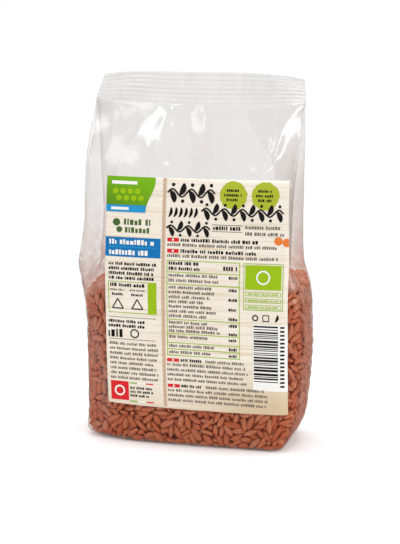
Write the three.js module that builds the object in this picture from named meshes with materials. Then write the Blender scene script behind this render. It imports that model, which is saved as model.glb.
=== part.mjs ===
// A clear side-gusset bag of rice-shaped red lentil pasta, standing on its block bottom, with a paper
// label on its front and a crimped seal across its top.
// Millimetres. +X is the pack's right, -Y its front, +Z up. The origin is the middle of the base.

import * as THREE from 'three';

// ---- Driving dimensions ---------------------------------------------------------------------------

const SEAL_BOTTOM = 169; // height at which the four panels meet
const SEAL_HEIGHT = 15.8; // crimped band above it
const GUSSET_HALF = 27; // a side gusset is folded from a strip twice this wide
const BASE_EDGE = 3; // rounding between the base and the walls
const BASE_FLAT = 0.86; // share of the base that lies flat on the table
const FREE_CORNER_LIFT = 1.2; // the front left corner of the base hangs clear by this
const SIDE_BULGE = 2.4; // how far the filled sides swell past their corners

// Height (mm) against distance (mm) from the pack's middle plane.
const LEFT_REACH = [[0, 54.6], [4, 56], [50, 56.1], [80, 57.1], [91, 58], [101, 56.4], [116, 55],
  [160, 54.8], [SEAL_BOTTOM, 54.6], [185, 53.6]];
const RIGHT_REACH = [[0, 47], [5, 49.2], [20, 53.4], [52, 55.4], [68, 55], [80, 53.6], [91, 50.4],
  [98, 50], [116, 50.4], [SEAL_BOTTOM, 52], [185, 49.8]];
const FRONT_DEPTH = [[0, 24], [20, 25.8], [50, 27.3], [75, 27], [92, 25.6], [120, 21], [134, 18],
  [148, 12], [162, 4], [SEAL_BOTTOM, 0.6]];
const BACK_DEPTH = [[0, 22], [20, 24.5], [50, 26.3], [75, 26], [92, 24], [120, 18.5], [148, 9.5],
  [162, 3.4], [SEAL_BOTTOM, 0.6]];
const LEFT_CREASE = [[0, 17.5], [20, 18.8], [50, 20.6], [80, 20.8], [92, 20], [110, 18],
  [134, 14.5], [150, 8.4], [162, 2.8], [SEAL_BOTTOM, 0.6]];
const RIGHT_CREASE = [[0, 23.4], [20, 22], [50, 22], [80, 21.6], [92, 20.4], [110, 18.4],
  [134, 15], [150, 8.6], [162, 2.8], [SEAL_BOTTOM, 0.6]];
const BACK_CREASE = [[0, 19], [20, 21.5], [50, 23.5], [80, 23], [92, 21.4], [110, 17.6],
  [134, 13], [150, 7.6], [162, 2.6], [SEAL_BOTTOM, 0.6]];
const CORNER_RADIUS = [[0, 4], [10, 7], [30, 10], [55, 11], [78, 8], [95, 3], [120, 1.6],
  [160, 0.6], [SEAL_BOTTOM, 0.35]];

const CROWN_POWER = 2.6; // how square the swell of a panel is between its two creases
const LEFT_FOLD = { start: 72, end: 95 }; // heights over which a bulging side turns into a fold
const RIGHT_FOLD = { start: 80, end: 101 };
const FOLD_CLOSE = 7; // the fold's notch closes over this height below the seal
const FOLD_TIGHT = 165; // height from which downwards the folds begin to gape
const FOLD_LOOSE = 136; // and below which they reach in by only this share of a flat fold's reach
const FOLD_SHARE = 0.55;

const SEAL_FORWARD = 1.6; // the middle of the seal stands this far forward
const SEAL_SWEEP = 6; // and its ends this much further back
const SEAL_RISE_LEFT = 2.2;
const SEAL_RISE_RIGHT = 1.2;
const SEAL_LEAN_LEFT = 44; // degrees by which the ends of the crimped band lean back
const SEAL_LEAN_RIGHT = 50;
const SEAL_RIDGES = 7;
const RIDGE_RELIEF = 0.3;
const LEAN_START = 125; // height where the sweep towards the seal begins
const HALF_WIDTH = 53; // nominal half width of the flat tube

const FILL_HEIGHT = 86; // level of the pasta at mid width
const FILL_SLOPE = 5; // it is this much higher at the right and lower at the left
const GRAIN_LENGTH = 8.5;
const GRAIN_WIDTH = 3.6;
const GRAIN_RELIEF = 0.6; // the film takes this much of a grain's form
const GRAIN_PITCH = 5.2;
const GRAIN_JITTER = 2.4;
const GRAIN_SEED = 11;

const SEAM_HALF = 5.5; // lap seal up the middle of the back
const SEAM_RELIEF = 0.8;

const LABEL = { left: -42.3, right: 48.7, bottom: 20.5, top: 134.2, gap: 0.3, thickness: 0.4 };
const LABEL_LEAN = 1; // its foot sits this much further right than its top
const LABEL_DROP = 0.9; // and the foot's right end this much lower than its left end
const LABEL_COLUMNS = 26;
const LABEL_ROWS = 20;
const LABEL_CLEARANCE = 3.5; // the film is smooth behind the label and this far round it

const FRONT_STEPS = 29; // facets across a panel
const CORNER_STEPS = 3;
const HALF_SIDE_STEPS = 6;
const FILLED_RING_STEP = 3.1;
const EMPTY_RING_STEP = 7.6;

// ---- Small helpers --------------------------------------------------------------------------------

// Eases from 0 to 1 as the value goes from one limit to the other, in either direction.
function smooth(from, to, value) {
  const t = THREE.MathUtils.clamp((value - from) / (to - from), 0, 1);
  return t * t * (3 - 2 * t);
}

// A curve through [height, value] knots, with no overshoot between them.
function through(knots) {
  const slopes = knots.slice(1).map((knot, i) => (knot[1] - knots[i][1]) / (knot[0] - knots[i][0]));
  const tangents = knots.map((knot, i) => {
    if (i === 0) return slopes[0];
    if (i === slopes.length) return slopes[i - 1];
    const product = slopes[i - 1] * slopes[i];
    return product <= 0 ? 0 : (2 * product) / (slopes[i - 1] + slopes[i]);
  });
  return (height) => {
    const z = THREE.MathUtils.clamp(height, knots[0][0], knots.at(-1)[0]);
    const i = Math.max(0, Math.min(slopes.length - 1, knots.findIndex((knot) => knot[0] >= z) - 1));
    const span = knots[i + 1][0] - knots[i][0];
    const t = (z - knots[i][0]) / span;
    const rise = t * t * (3 - 2 * t);
    const ends = knots[i][1] * (1 - rise) + knots[i + 1][1] * rise;
    return ends + span * t * (1 - t) * ((1 - t) * tangents[i] - t * tangents[i + 1]);
  };
}

function randomFrom(seed) {
  let state = seed;
  return () => {
    state = (state * 16807) % 2147483647;
    return state / 2147483647;
  };
}

// ---- The bag's form -------------------------------------------------------------------------------

const form = {
  left: through(LEFT_REACH),
  right: through(RIGHT_REACH),
  front: through(FRONT_DEPTH),
  back: through(BACK_DEPTH),
  creaseLeft: through(LEFT_CREASE),
  creaseRight: through(RIGHT_CREASE),
  creaseBack: through(BACK_CREASE),
  radius: through(CORNER_RADIUS),
};

// How far the walls are drawn in by the rounding at the base.
function baseInset(z) {
  const below = Math.max(0, BASE_EDGE - z);
  return BASE_EDGE - Math.sqrt(BASE_EDGE * BASE_EDGE - below * below);
}

// Depth of a panel at x, measured from the middle plane: flat between the corner arcs, plus its swell.
function panelDepth(x, z, crest, creaseAt) {
  const middle = (form.right(z) - form.left(z)) / 2;
  const half = (form.right(z) + form.left(z)) / 2 - baseInset(z);
  const radius = form.radius(z);
  const across = THREE.MathUtils.clamp((x - middle) / half, -1, 1);
  const crease = creaseAt(across, z);
  const round = THREE.MathUtils.clamp(Math.abs(x - middle) - (half - radius), 0, radius);
  const arc = crease - radius + Math.sqrt(radius * radius - round * round);
  const swell = (crest(z) - crease) * (1 - Math.abs(across) ** CROWN_POWER);
  return arc + swell - baseInset(z);
}

function frontCrease(across, z) {
  return THREE.MathUtils.lerp(form.creaseLeft(z), form.creaseRight(z), smooth(-1, 1, across));
}

function frontDepth(x, z) {
  return panelDepth(x, z, form.front, frontCrease);
}

function backDepth(x, z) {
  const seam = smooth(SEAM_HALF + 2, SEAM_HALF, Math.abs(x)) * SEAM_RELIEF * smooth(BASE_EDGE, 8, z);
  return panelDepth(x, z, form.back, (across, height) => form.creaseBack(height)) + seam
    * smooth(SEAL_BOTTOM, SEAL_BOTTOM - 5, z);
}

// Sideways offset along a gusset: v runs from -1 at its front crease to 1 at its back crease.
function gussetOffset(v, z, fold) {
  const folded = smooth(fold.start, fold.end, z);
  const halfDepth = (form.creaseBack(z) + frontCrease(0, z)) / 2;
  const flatReach = Math.sqrt(GUSSET_HALF * GUSSET_HALF - halfDepth * halfDepth);
  const reach = flatReach * THREE.MathUtils.lerp(1, FOLD_SHARE, smooth(FOLD_TIGHT, FOLD_LOOSE, z));
  const open = smooth(SEAL_BOTTOM, SEAL_BOTTOM - FOLD_CLOSE, z);
  const bulge = SIDE_BULGE * (1 - v * v) * smooth(0, 12, z);
  return bulge * (1 - folded) - reach * (1 - Math.abs(v)) * folded * open;
}

// The sweep, rise and lean of the upper pack: everything is laid out upright and bent by this.
function bend(point) {
  const across = point.x / HALF_WIDTH;
  const square = across * across;
  const towardsSeal = smooth(LEAN_START, SEAL_BOTTOM, point.z);
  const rise = (across < 0 ? SEAL_RISE_LEFT : SEAL_RISE_RIGHT) * square * towardsSeal;
  const leanMost = across < 0 ? SEAL_LEAN_LEFT : SEAL_LEAN_RIGHT;
  const lean = THREE.MathUtils.degToRad(leanMost) * Math.abs(across) ** 1.5;
  const above = Math.max(0, point.z - SEAL_BOTTOM);
  const forward = SEAL_FORWARD * smooth(60, SEAL_BOTTOM, point.z);
  return new THREE.Vector3(
    point.x,
    point.y + SEAL_SWEEP * square * towardsSeal - forward + above * Math.sin(lean),
    point.z + rise - above * (1 - Math.cos(lean)),
  );
}

// One level of the wall, starting at the fold of the left side and running round the front.
function ring(z) {
  const left = -form.left(z) + baseInset(z);
  const right = form.right(z) - baseInset(z);
  const radius = form.radius(z);
  const points = [];
  const addSide = (edge, sign, frontY, backY, from, to, fold) => {
    const steps = HALF_SIDE_STEPS;
    for (let i = 1; i <= steps; i += 1) {
      const v = THREE.MathUtils.lerp(from, to, i / steps);
      const y = v < 0 ? -v * frontY : v * backY;
      points.push(new THREE.Vector3(edge + sign * gussetOffset(v, z, fold), y, z));
    }
  };
  const addPanel = (from, to, depth, side) => {
    for (let i = 1; i <= FRONT_STEPS; i += 1) {
      const x = THREE.MathUtils.lerp(from, to, i / FRONT_STEPS);
      points.push(new THREE.Vector3(x, side * depth(x, z), z));
    }
  };
  const addCorner = (centre, reach, from, to, depth, side) => {
    for (let i = 1; i <= CORNER_STEPS; i += 1) {
      const angle = THREE.MathUtils.lerp(from, to, i / CORNER_STEPS);
      const x = centre + reach * radius * Math.sin(angle);
      points.push(new THREE.Vector3(x, side * depth(x, z), z));
    }
  };
  const quarter = Math.PI / 2;
  const leftFront = -frontDepth(left, z);
  const rightFront = -frontDepth(right, z);
  const leftBack = backDepth(left, z);
  const rightBack = backDepth(right, z);
  addSide(left, -1, leftFront, leftBack, 0, -1, LEFT_FOLD);
  addCorner(left + radius, -1, quarter, 0, frontDepth, -1);
  addPanel(left + radius, right - radius, frontDepth, -1);
  addCorner(right - radius, 1, 0, quarter, frontDepth, -1);
  addSide(right, 1, rightFront, rightBack, -1, 1, RIGHT_FOLD);
  addCorner(right - radius, 1, quarter, 0, backDepth, 1);
  addPanel(right - radius, left + radius, backDepth, 1);
  addCorner(left + radius, -1, 0, quarter, backDepth, 1);
  addSide(left, -1, leftFront, leftBack, 1, 0, LEFT_FOLD);
  return points;
}

// ---- Grains pressing through the film -------------------------------------------------------------

// Grain-sized ellipses scattered over the wall unrolled flat: along it, up it, and their angle.
function scatterGrains(girth) {
  const random = randomFrom(GRAIN_SEED);
  const grains = [];
  for (let z = 0; z < FILL_HEIGHT + FILL_SLOPE; z += GRAIN_PITCH) {
    for (let s = 0; s < girth; s += GRAIN_PITCH) {
      grains.push({
        s: s + GRAIN_JITTER * (random() - 0.5),
        z: z + GRAIN_JITTER * (random() - 0.5),
        angle: Math.PI * random(),
      });
    }
  }
  return grains;
}

function grainRelief(grains, s, z) {
  return grains.reduce((best, grain) => {
    const ds = s - grain.s;
    const dz = z - grain.z;
    const along = (ds * Math.cos(grain.angle) + dz * Math.sin(grain.angle)) / (GRAIN_LENGTH / 2);
    const aside = (dz * Math.cos(grain.angle) - ds * Math.sin(grain.angle)) / (GRAIN_WIDTH / 2);
    return Math.max(best, GRAIN_RELIEF * (1 - along * along - aside * aside));
  }, 0);
}

// 1 where grains press on the film, 0 on the base edge, above the fill and behind the label.
function grainShare(point) {
  const level = FILL_HEIGHT + (FILL_SLOPE * point.x) / HALF_WIDTH;
  const filled = smooth(level + 2, level - 3, point.z) * smooth(BASE_EDGE, BASE_EDGE + 4, point.z);
  const behindLabel = point.y < 0
    && point.z > LABEL.bottom - LABEL_CLEARANCE
    && point.x > LABEL.left - LABEL_CLEARANCE
    && point.x < LABEL.right + LABEL_CLEARANCE;
  return behindLabel ? 0 : filled;
}

function pressGrains(points, grains) {
  let s = 0;
  return points.map((point, i) => {
    const before = points.at(i - 1);
    const after = points[(i + 1) % points.length];
    s += i === 0 ? 0 : point.distanceTo(before);
    const outward = new THREE.Vector3(after.y - before.y, before.x - after.x, 0).normalize();
    const share = grainShare(point);
    return share === 0 ? point : point.clone().addScaledVector(outward,
      share * grainRelief(grains, s, point.z));
  });
}

// ---- Solids ---------------------------------------------------------------------------------------

// Closes a stack of equal rings. Points i and (count - i - shift) of a ring lie face to face, and the
// caps are strips between them.
function loft(rings, shift) {
  const count = rings[0].length;
  const positions = rings.flatMap((points) => points.flatMap((point) => point.toArray()));
  const faces = [];
  rings.slice(1).forEach((points, level) => {
    for (let i = 0; i < count; i += 1) {
      const a = level * count + i;
      const b = level * count + ((i + 1) % count);
      faces.push(a, b, b + count, a, b + count, a + count);
    }
  });
  const opposite = (i) => (2 * count - i - shift) % count;
  const addCap = (start, up) => {
    for (let i = 0; i < count / 2; i += 1) {
      const corners = [i, i + 1, opposite(i + 1), opposite(i)].map((corner) => start + corner);
      const pair = [[corners[0], corners[1], corners[2]], [corners[0], corners[2], corners[3]]];
      pair.filter((face) => new Set(face).size === 3).forEach((face) => {
        faces.push(...(up ? face : face.toReversed()));
      });
    }
  };
  addCap(0, false);
  addCap((rings.length - 1) * count, true);
  const geometry = new THREE.BufferGeometry();
  geometry.setAttribute('position', new THREE.Float32BufferAttribute(positions, 3));
  geometry.setIndex(faces);
  geometry.computeVertexNormals();
  return geometry;
}

// The front left corner of the base, where the film hangs clear of the table.
function freeCorner(point) {
  return FREE_CORNER_LIFT * smooth(-30, -54, point.x) * smooth(0, -17, point.y)
    * smooth(14, 0, point.z);
}

function bagGeometry() {
  const levels = [0, 0.13, 0.5, 1].map((share) => share * BASE_EDGE);
  while (levels.at(-1) < FILL_HEIGHT + FILL_SLOPE) levels.push(levels.at(-1) + FILLED_RING_STEP);
  const emptySteps = Math.ceil((SEAL_BOTTOM - levels.at(-1)) / EMPTY_RING_STEP);
  const emptyStart = levels.at(-1);
  for (let i = 1; i <= emptySteps; i += 1) {
    levels.push(THREE.MathUtils.lerp(emptyStart, SEAL_BOTTOM, i / emptySteps));
  }
  const walls = levels.map(ring);
  const girth = 4 * (HALF_WIDTH + GUSSET_HALF);
  const grains = scatterGrains(girth);
  const rings = walls.map((points) => pressGrains(points, grains));
  rings.forEach((points) => points.forEach((point) => {
    point.z += freeCorner(point);
  }));
  const foot = rings[0].map((point) => new THREE.Vector3(
    point.x * BASE_FLAT,
    point.y * BASE_FLAT,
    0,
  ));
  for (let i = 1; i <= 2 * SEAL_RIDGES; i += 1) {
    const z = SEAL_BOTTOM + (SEAL_HEIGHT * i) / (2 * SEAL_RIDGES);
    const relief = i % 2 === 1 ? -RIDGE_RELIEF : RIDGE_RELIEF;
    const points = ring(z);
    points.forEach((point) => {
      point.y += relief;
    });
    rings.push(points);
  }
  return loft([foot, ...rings.map((points) => points.map(bend))], 0);
}

// A point on the front panel, moved out from it by the given distance.
function onFront(x, z, distance) {
  const place = (atX, atZ) => bend(new THREE.Vector3(atX, -frontDepth(atX, atZ), atZ));
  const reach = 0.5;
  const across = place(x + reach, z).sub(place(x - reach, z));
  const upward = place(x, z + reach).sub(place(x, z - reach));
  const normal = across.cross(upward).normalize();
  return place(x, z).addScaledVector(normal, distance);
}

function labelGeometry() {
  const rows = [];
  for (let j = 0; j <= LABEL_ROWS; j += 1) {
    const down = 1 - j / LABEL_ROWS;
    const outer = [];
    const inner = [];
    for (let i = 0; i <= LABEL_COLUMNS; i += 1) {
      const share = Math.sin((i / LABEL_COLUMNS) * (Math.PI / 2)); // closer columns at the right corner
      const x = THREE.MathUtils.lerp(LABEL.left, LABEL.right, share) + LABEL_LEAN * down;
      const z = THREE.MathUtils.lerp(LABEL.top, LABEL.bottom, down) - LABEL_DROP * share * down;
      outer.push(onFront(x, z, LABEL.gap + LABEL.thickness));
      inner.push(onFront(x, z, LABEL.gap));
    }
    rows.push([...outer, ...inner.reverse()]);
  }
  return loft(rows, 1);
}

// ---- The pack -------------------------------------------------------------------------------------

const filledBag = new THREE.MeshStandardMaterial({ color: 0xb9694a, roughness: 0.35, metalness: 0 });
const labelPaper = new THREE.MeshStandardMaterial({ color: 0xecdfc8, roughness: 0.6, metalness: 0 });

const bag = new THREE.Mesh(bagGeometry(), filledBag);
bag.name = 'bag';

const label = new THREE.Mesh(labelGeometry(), labelPaper);
label.name = 'label';

const pack = new THREE.Group();
pack.add(bag, label);

export default pack;
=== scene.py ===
"""A clear side-gusset bag of rice-shaped red lentil pasta with a paper label, in a plain studio.

Shapes are worked out in millimetres on the pack (+X its right, -Y its front, +Z up) and turned into
metres where a mesh is made.
"""

import logging
import math
from dataclasses import dataclass, field
from enum import Enum

import bpy
import numpy as np
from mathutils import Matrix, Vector


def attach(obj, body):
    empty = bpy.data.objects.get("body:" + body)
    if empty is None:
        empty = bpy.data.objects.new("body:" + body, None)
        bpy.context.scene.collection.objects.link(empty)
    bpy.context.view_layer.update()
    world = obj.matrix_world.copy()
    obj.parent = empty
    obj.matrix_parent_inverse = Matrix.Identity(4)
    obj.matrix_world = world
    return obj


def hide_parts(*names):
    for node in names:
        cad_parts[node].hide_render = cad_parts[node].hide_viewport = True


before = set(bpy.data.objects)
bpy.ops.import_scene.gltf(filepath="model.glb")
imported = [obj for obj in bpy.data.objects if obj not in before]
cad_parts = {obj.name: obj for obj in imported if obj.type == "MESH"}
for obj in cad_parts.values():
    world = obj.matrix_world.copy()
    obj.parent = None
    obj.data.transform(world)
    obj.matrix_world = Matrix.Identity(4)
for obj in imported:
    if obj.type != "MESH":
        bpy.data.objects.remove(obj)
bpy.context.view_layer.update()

MM = 0.001
BODY = "root"
BAG_NODE = "bag"
LABEL_NODE = "label"
LOG = logging.getLogger("pasta_bag")

Array = np.ndarray
Material = bpy.types.Material
Tree = bpy.types.NodeTree
Colour = tuple[float, float, float, float]
Value = bpy.types.NodeSocket | float | tuple
WHITE: Colour = (1.0, 1.0, 1.0, 1.0)


class Slot(Enum):
    """The names of the record's material slots; no piece here takes its finish from them."""

    FILM = "film"
    PASTA = "pasta"
    PAPER = "label_paper"
    PRINT = "label_print"


# ---- Small helpers ---------------------------------------------------------------------------------


def smooth(start: float, end: float, value: Array) -> Array:
    """Eases from 0 to 1 as value goes from start to end, in either direction."""
    t = np.clip((np.asarray(value, float) - start) / (end - start), 0.0, 1.0)
    return t * t * (3.0 - 2.0 * t)


@dataclass(frozen=True)
class Ease:
    """Where something begins and where it is whole, along a length."""

    begin: float
    whole: float

    def __call__(self, value: Array) -> Array:
        """How much of it there is at the value, from 0 to 1."""
        return smooth(self.begin, self.whole, value)


@dataclass(frozen=True)
class Stretch:
    """A stretch of a length, which fades in from start to full and out from fall to end."""

    start: float
    full: float
    fall: float
    end: float

    def __call__(self, value: Array) -> Array:
        """How much of it there is at the value, from 0 to 1."""
        return smooth(self.start, self.full, value) * smooth(self.end, self.fall, value)


def linear(red: int, green: int, blue: int) -> Colour:
    """Turns a screen colour of 0 to 255 into Blender's linear colour with an alpha of 1."""
    channels = [(c / 255.0 + 0.055) / 1.055 if c > 10 else c / 255.0 / 12.92 for c in (red, green, blue)]
    return (*[c**2.4 if c > 0.04 else c for c in channels], 1.0)


class Profile:
    """A smooth curve through (height, value) knots, with no overshoot between them."""

    def __init__(self, *knots: tuple[float, float]) -> None:
        """Works out the slope at each knot.

        Args:
            knots: Pairs of height and value, heights rising.
        """
        self.height = np.array([knot[0] for knot in knots], float)
        self.value = np.array([knot[1] for knot in knots], float)
        slope = np.diff(self.value) / np.diff(self.height)
        product = slope[:-1] * slope[1:]
        total = np.where(product > 0.0, slope[:-1] + slope[1:], 1.0)
        inner = np.where(product > 0.0, 2.0 * product / total, 0.0)
        self.slope = np.concatenate([slope[:1], inner, slope[-1:]])

    def __call__(self, z: Array) -> Array:
        """Gives the curve's value at each height z.

        Args:
            z: Heights.

        Returns:
            The values there.
        """
        z = np.clip(np.asarray(z, float), self.height[0], self.height[-1])
        i = np.clip(np.searchsorted(self.height, z, side="right") - 1, 0, len(self.height) - 2)
        span = self.height[i + 1] - self.height[i]
        t = (z - self.height[i]) / span
        rise = t * t * (3.0 - 2.0 * t)
        ends = self.value[i] * (1.0 - rise) + self.value[i + 1] * rise
        return ends + span * t * (1.0 - t) * ((1.0 - t) * self.slope[i] - t * self.slope[i + 1])


def profile(*knots: tuple[float, float]) -> Profile:
    """A dataclass field that holds a Profile through the knots."""
    return field(default_factory=lambda: Profile(*knots))


def make_piece(
    name: str,
    points: Array,
    faces: list,
    material: Material,
    attributes: dict[str, Array] | None = None,
) -> bpy.types.Object:
    """Makes one smooth mesh piece that rides on the pack's body.

    Args:
        name: The piece's name.
        points: Vertices in millimetres, one row each.
        faces: Faces as lists of vertex numbers.
        material: The piece's finish.
        attributes: Values per vertex that the finish reads, by name.

    Returns:
        The new object.
    """
    mesh = bpy.data.meshes.new(name)
    mesh.from_pydata(np.asarray(points, float) * MM, [], faces)
    mesh.validate()
    mesh.polygons.foreach_set("use_smooth", np.ones(len(mesh.polygons), bool))
    for key, values in (attributes or {}).items():
        layer = mesh.attributes.new(key, "FLOAT", "POINT")
        layer.data.foreach_set("value", np.asarray(values, np.float32))
    mesh.materials.append(material)
    piece = bpy.data.objects.new(name, mesh)
    bpy.context.scene.collection.objects.link(piece)
    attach(piece, BODY)
    LOG.info("%s: %d faces", name, len(mesh.polygons))
    return piece


def loft_faces(rows: int, columns: int, closed: bool = True) -> list:
    """Quads between the rows of a grid of points that is stored row by row.

    Args:
        rows: Number of rows.
        columns: Points in a row.
        closed: True if the last column joins the first.

    Returns:
        The quads as lists of vertex numbers.
    """
    reach = columns if closed else columns - 1
    row, column = np.meshgrid(np.arange(rows - 1), np.arange(reach), indexing="ij")
    after = (column + 1) % columns
    quads = [row * columns + column, row * columns + after]
    quads += [(row + 1) * columns + after, (row + 1) * columns + column]
    return np.stack(quads, -1).reshape(-1, 4).tolist()


def end_faces(rows: int, columns: int, shift: int, with_top: bool = True) -> list:
    """Quads that close the ends of a loft, each between the points that face each other in a row.

    Args:
        rows: Number of rows.
        columns: Points in a row.
        shift: How far before the row's end the point that faces its first one lies, plus 1.
        with_top: True to close the top as well as the bottom.

    Returns:
        The quads as lists of vertex numbers.
    """
    top, faces = (rows - 1) * columns, []
    for i in range(columns // 2 - 1):
        a, b = (columns - i - shift) % columns, (columns - i - shift - 1) % columns
        faces.append([i, a, b, i + 1])
        if with_top:
            faces.append([top + i, top + i + 1, top + b, top + a])
    return faces


def grid_normals(points: Array) -> Array:
    """Outward unit normals of a (rows, columns, 3) grid whose rows run round the pack.

    Args:
        points: The grid of points.

    Returns:
        The normals, in the same layout.
    """
    along = np.roll(points, -1, 1) - np.roll(points, 1, 1)
    normals = np.cross(along, np.gradient(points, axis=0))
    return normals / np.maximum(np.linalg.norm(normals, axis=-1, keepdims=True), 1e-9)


# ---- The pack's form -------------------------------------------------------------------------------


@dataclass
class BagForm:
    """The outer form of the filled bag, level by level.

    The folds are the heights over which a bulging side turns into an inward fold. Each wave of the heap
    has a height, a length across and one front to back over 2 pi, and a phase.
    """

    seal_bottom: float = 169.0
    seal_height: float = 15.8
    gusset_half: float = 27.0
    base_edge: float = 3.0
    side_bulge: float = 2.4
    crown_power: float = 2.6
    half_width: float = 53.0
    fill_height: float = 86.0
    fill_slope: float = 5.0
    heap_waves: tuple[tuple[float, ...], ...] = ((1.6, 9.0, 14.0, 0.0), (1.2, 5.2, -7.0, 1.3))
    fill_dip: float = 5.0
    dip_at: Ease = Ease(35.0, 46.0)
    panel_fall: float = 3.0
    panel_fall_at: Ease = Ease(14.0, 26.0)
    side_fall: float = 4.0
    side_fall_at: Ease = Ease(44.0, 56.0)
    seal_forward: float = 1.6
    seal_sweep: float = 6.0
    rise_left: float = 2.2
    rise_right: float = 1.2
    lean_left: float = 44.0
    lean_right: float = 50.0
    lean_start: float = 125.0
    forward_from: float = 60.0
    corner_lift: float = 1.2
    corner_x: Ease = Ease(-30.0, -54.0)
    corner_y: Ease = Ease(0.0, -17.0)
    corner_z: Ease = Ease(14.0, 0.0)
    left_fold: Ease = Ease(72.0, 95.0)
    right_fold: Ease = Ease(80.0, 101.0)
    packed_closing: float = 7.0
    fold_share: float = 0.55
    fold_tight: float = 165.0
    fold_loose: float = 136.0
    left: Profile = profile(
        (0, 54.6), (4, 56), (50, 56.1), (80, 57.1), (91, 58), (101, 56.4), (116, 55), (160, 54.8),
        (169, 54.6), (185, 53.6),
    )
    right: Profile = profile(
        (0, 47), (5, 49.2), (20, 53.4), (52, 55.4), (68, 55), (80, 53.6), (91, 50.4), (98, 50),
        (116, 50.4), (169, 52), (185, 49.8),
    )
    front: Profile = profile(
        (0, 24), (20, 25.8), (50, 27.3), (75, 27), (92, 25.6), (120, 21), (134, 18), (148, 12),
        (162, 4), (169, 0.6),
    )
    back: Profile = profile(
        (0, 22), (20, 24.5), (50, 26.3), (75, 26), (92, 24), (120, 18.5), (148, 9.5), (162, 3.4),
        (169, 0.6),
    )
    crease_left: Profile = profile(
        (0, 17.5), (20, 18.8), (50, 20.6), (80, 20.8), (92, 20), (110, 18), (134, 14.5), (150, 8.4),
        (162, 2.8), (169, 0.6),
    )
    crease_right: Profile = profile(
        (0, 23.4), (20, 22), (50, 22), (80, 21.6), (92, 20.4), (110, 18.4), (134, 15), (150, 8.6),
        (162, 2.8), (169, 0.6),
    )
    crease_back: Profile = profile(
        (0, 19), (20, 21.5), (50, 23.5), (80, 23), (92, 21.4), (110, 17.6), (134, 13), (150, 7.6),
        (162, 2.6), (169, 0.6),
    )
    radius: Profile = profile(
        (0, 4), (10, 7), (30, 10), (55, 11), (78, 8), (95, 3), (120, 1.6), (160, 0.6), (169, 0.35),
    )

    @property
    def top(self) -> float:
        """Height of the top of the seal before it leans."""
        return self.seal_bottom + self.seal_height

    @property
    def girth(self) -> float:
        """Length round the flat tube that the film is folded from."""
        return 4.0 * (self.half_width + self.gusset_half)

    def in_seal(self, z: Array) -> Array:
        """1 in the sealed band and 0 below it."""
        return smooth(self.seal_bottom - 1.0, self.seal_bottom + 0.5, z)

    def base_inset(self, z: Array) -> Array:
        """How far the walls are drawn in by the rounding at the base."""
        below = np.clip(self.base_edge - z, 0.0, self.base_edge)
        return self.base_edge - np.sqrt(self.base_edge**2 - below**2)

    def front_crease(self, across: Array, z: Array) -> Array:
        """Depth of the front creases, blended from the left one (-1) to the right one (1)."""
        share = smooth(-1.0, 1.0, across)
        return self.crease_left(z) * (1.0 - share) + self.crease_right(z) * share

    def panel_depth(self, x: Array, z: Array, front: bool) -> Array:
        """Depth of a panel at x, measured from the pack's middle plane.

        Args:
            x: Places across the pack.
            z: Heights.
            front: True for the front panel, False for the back one.

        Returns:
            The depths, flat between the corner arcs, plus the panel's swell.
        """
        middle = (self.right(z) - self.left(z)) / 2.0
        half = (self.right(z) + self.left(z)) / 2.0 - self.base_inset(z)
        radius = self.radius(z)
        across = np.clip((x - middle) / half, -1.0, 1.0)
        crease = self.front_crease(across, z) if front else self.crease_back(z)
        crest = self.front(z) if front else self.back(z)
        turned = np.clip(np.abs(x - middle) - (half - radius), 0.0, radius)
        arc = crease - radius + np.sqrt(np.maximum(radius**2 - turned**2, 0.0))
        swell = (crest - crease) * (1.0 - np.abs(across) ** self.crown_power)
        return arc + swell - self.base_inset(z)

    def gusset_offset(self, v: Array, z: Array, fold: Ease, closing: float) -> Array:
        """Sideways offset along a gusset.

        Args:
            v: Place along it, from -1 at its front crease to 1 at its back crease.
            z: Heights.
            fold: Where the side turns into a fold.
            closing: Height below the seal over which the fold's notch closes.

        Returns:
            Outward offsets, negative in the fold.
        """
        folded = fold(z)
        half_depth = (self.crease_back(z) + self.front_crease(np.zeros(1), z)) / 2.0
        reach = np.sqrt(self.gusset_half**2 - half_depth**2)
        reach = reach * (1.0 - (1.0 - self.fold_share) * smooth(self.fold_tight, self.fold_loose, z))
        opened = smooth(self.seal_bottom, self.seal_bottom - closing, z)
        bulge = self.side_bulge * (1.0 - v**2) * smooth(0.0, 12.0, z)
        return bulge * (1.0 - folded) - reach * (1.0 - np.abs(v)) * folded * opened

    def bend(self, points: Array) -> Array:
        """Gives upright points the sweep, rise and lean of the upper pack.

        Args:
            points: Points of the upright pack.

        Returns:
            The points where they really are.
        """
        x, y, z = points[..., 0], points[..., 1], points[..., 2]
        across = x / self.half_width
        towards_seal = smooth(self.lean_start, self.seal_bottom, z)
        rise = np.where(across < 0.0, self.rise_left, self.rise_right) * across**2 * towards_seal
        lean = np.radians(np.where(across < 0.0, self.lean_left, self.lean_right)) * np.abs(across) ** 1.5
        above = np.maximum(0.0, z - self.seal_bottom)
        forward = self.seal_forward * smooth(self.forward_from, self.seal_bottom, z)
        lift = self.corner_lift * self.corner_x(x) * self.corner_y(y) * self.corner_z(z)
        bent_y = y + self.seal_sweep * across**2 * towards_seal - forward + above * np.sin(lean)
        bent_z = z + rise + lift - above * (1.0 - np.cos(lean))
        return np.stack([x, bent_y, bent_z], -1)

    def fill_level(self, x: Array, y: Array) -> Array:
        """Height of the heap of pasta, which is uneven and higher at the right.

        Args:
            x: Places across the pack.
            y: Places front to back.

        Returns:
            Heights of the heap's top.
        """
        slope = self.fill_height + self.fill_slope * x / self.half_width - self.fill_dip * self.dip_at(x)
        waves = sum(tall * np.sin(x / across + y / deep + turn) for tall, across, deep, turn in self.heap_waves)
        falls = (self.panel_fall * self.panel_fall_at(np.abs(y)), self.side_fall * self.side_fall_at(np.abs(x)))
        return slope + waves - falls[0] - falls[1]

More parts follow.
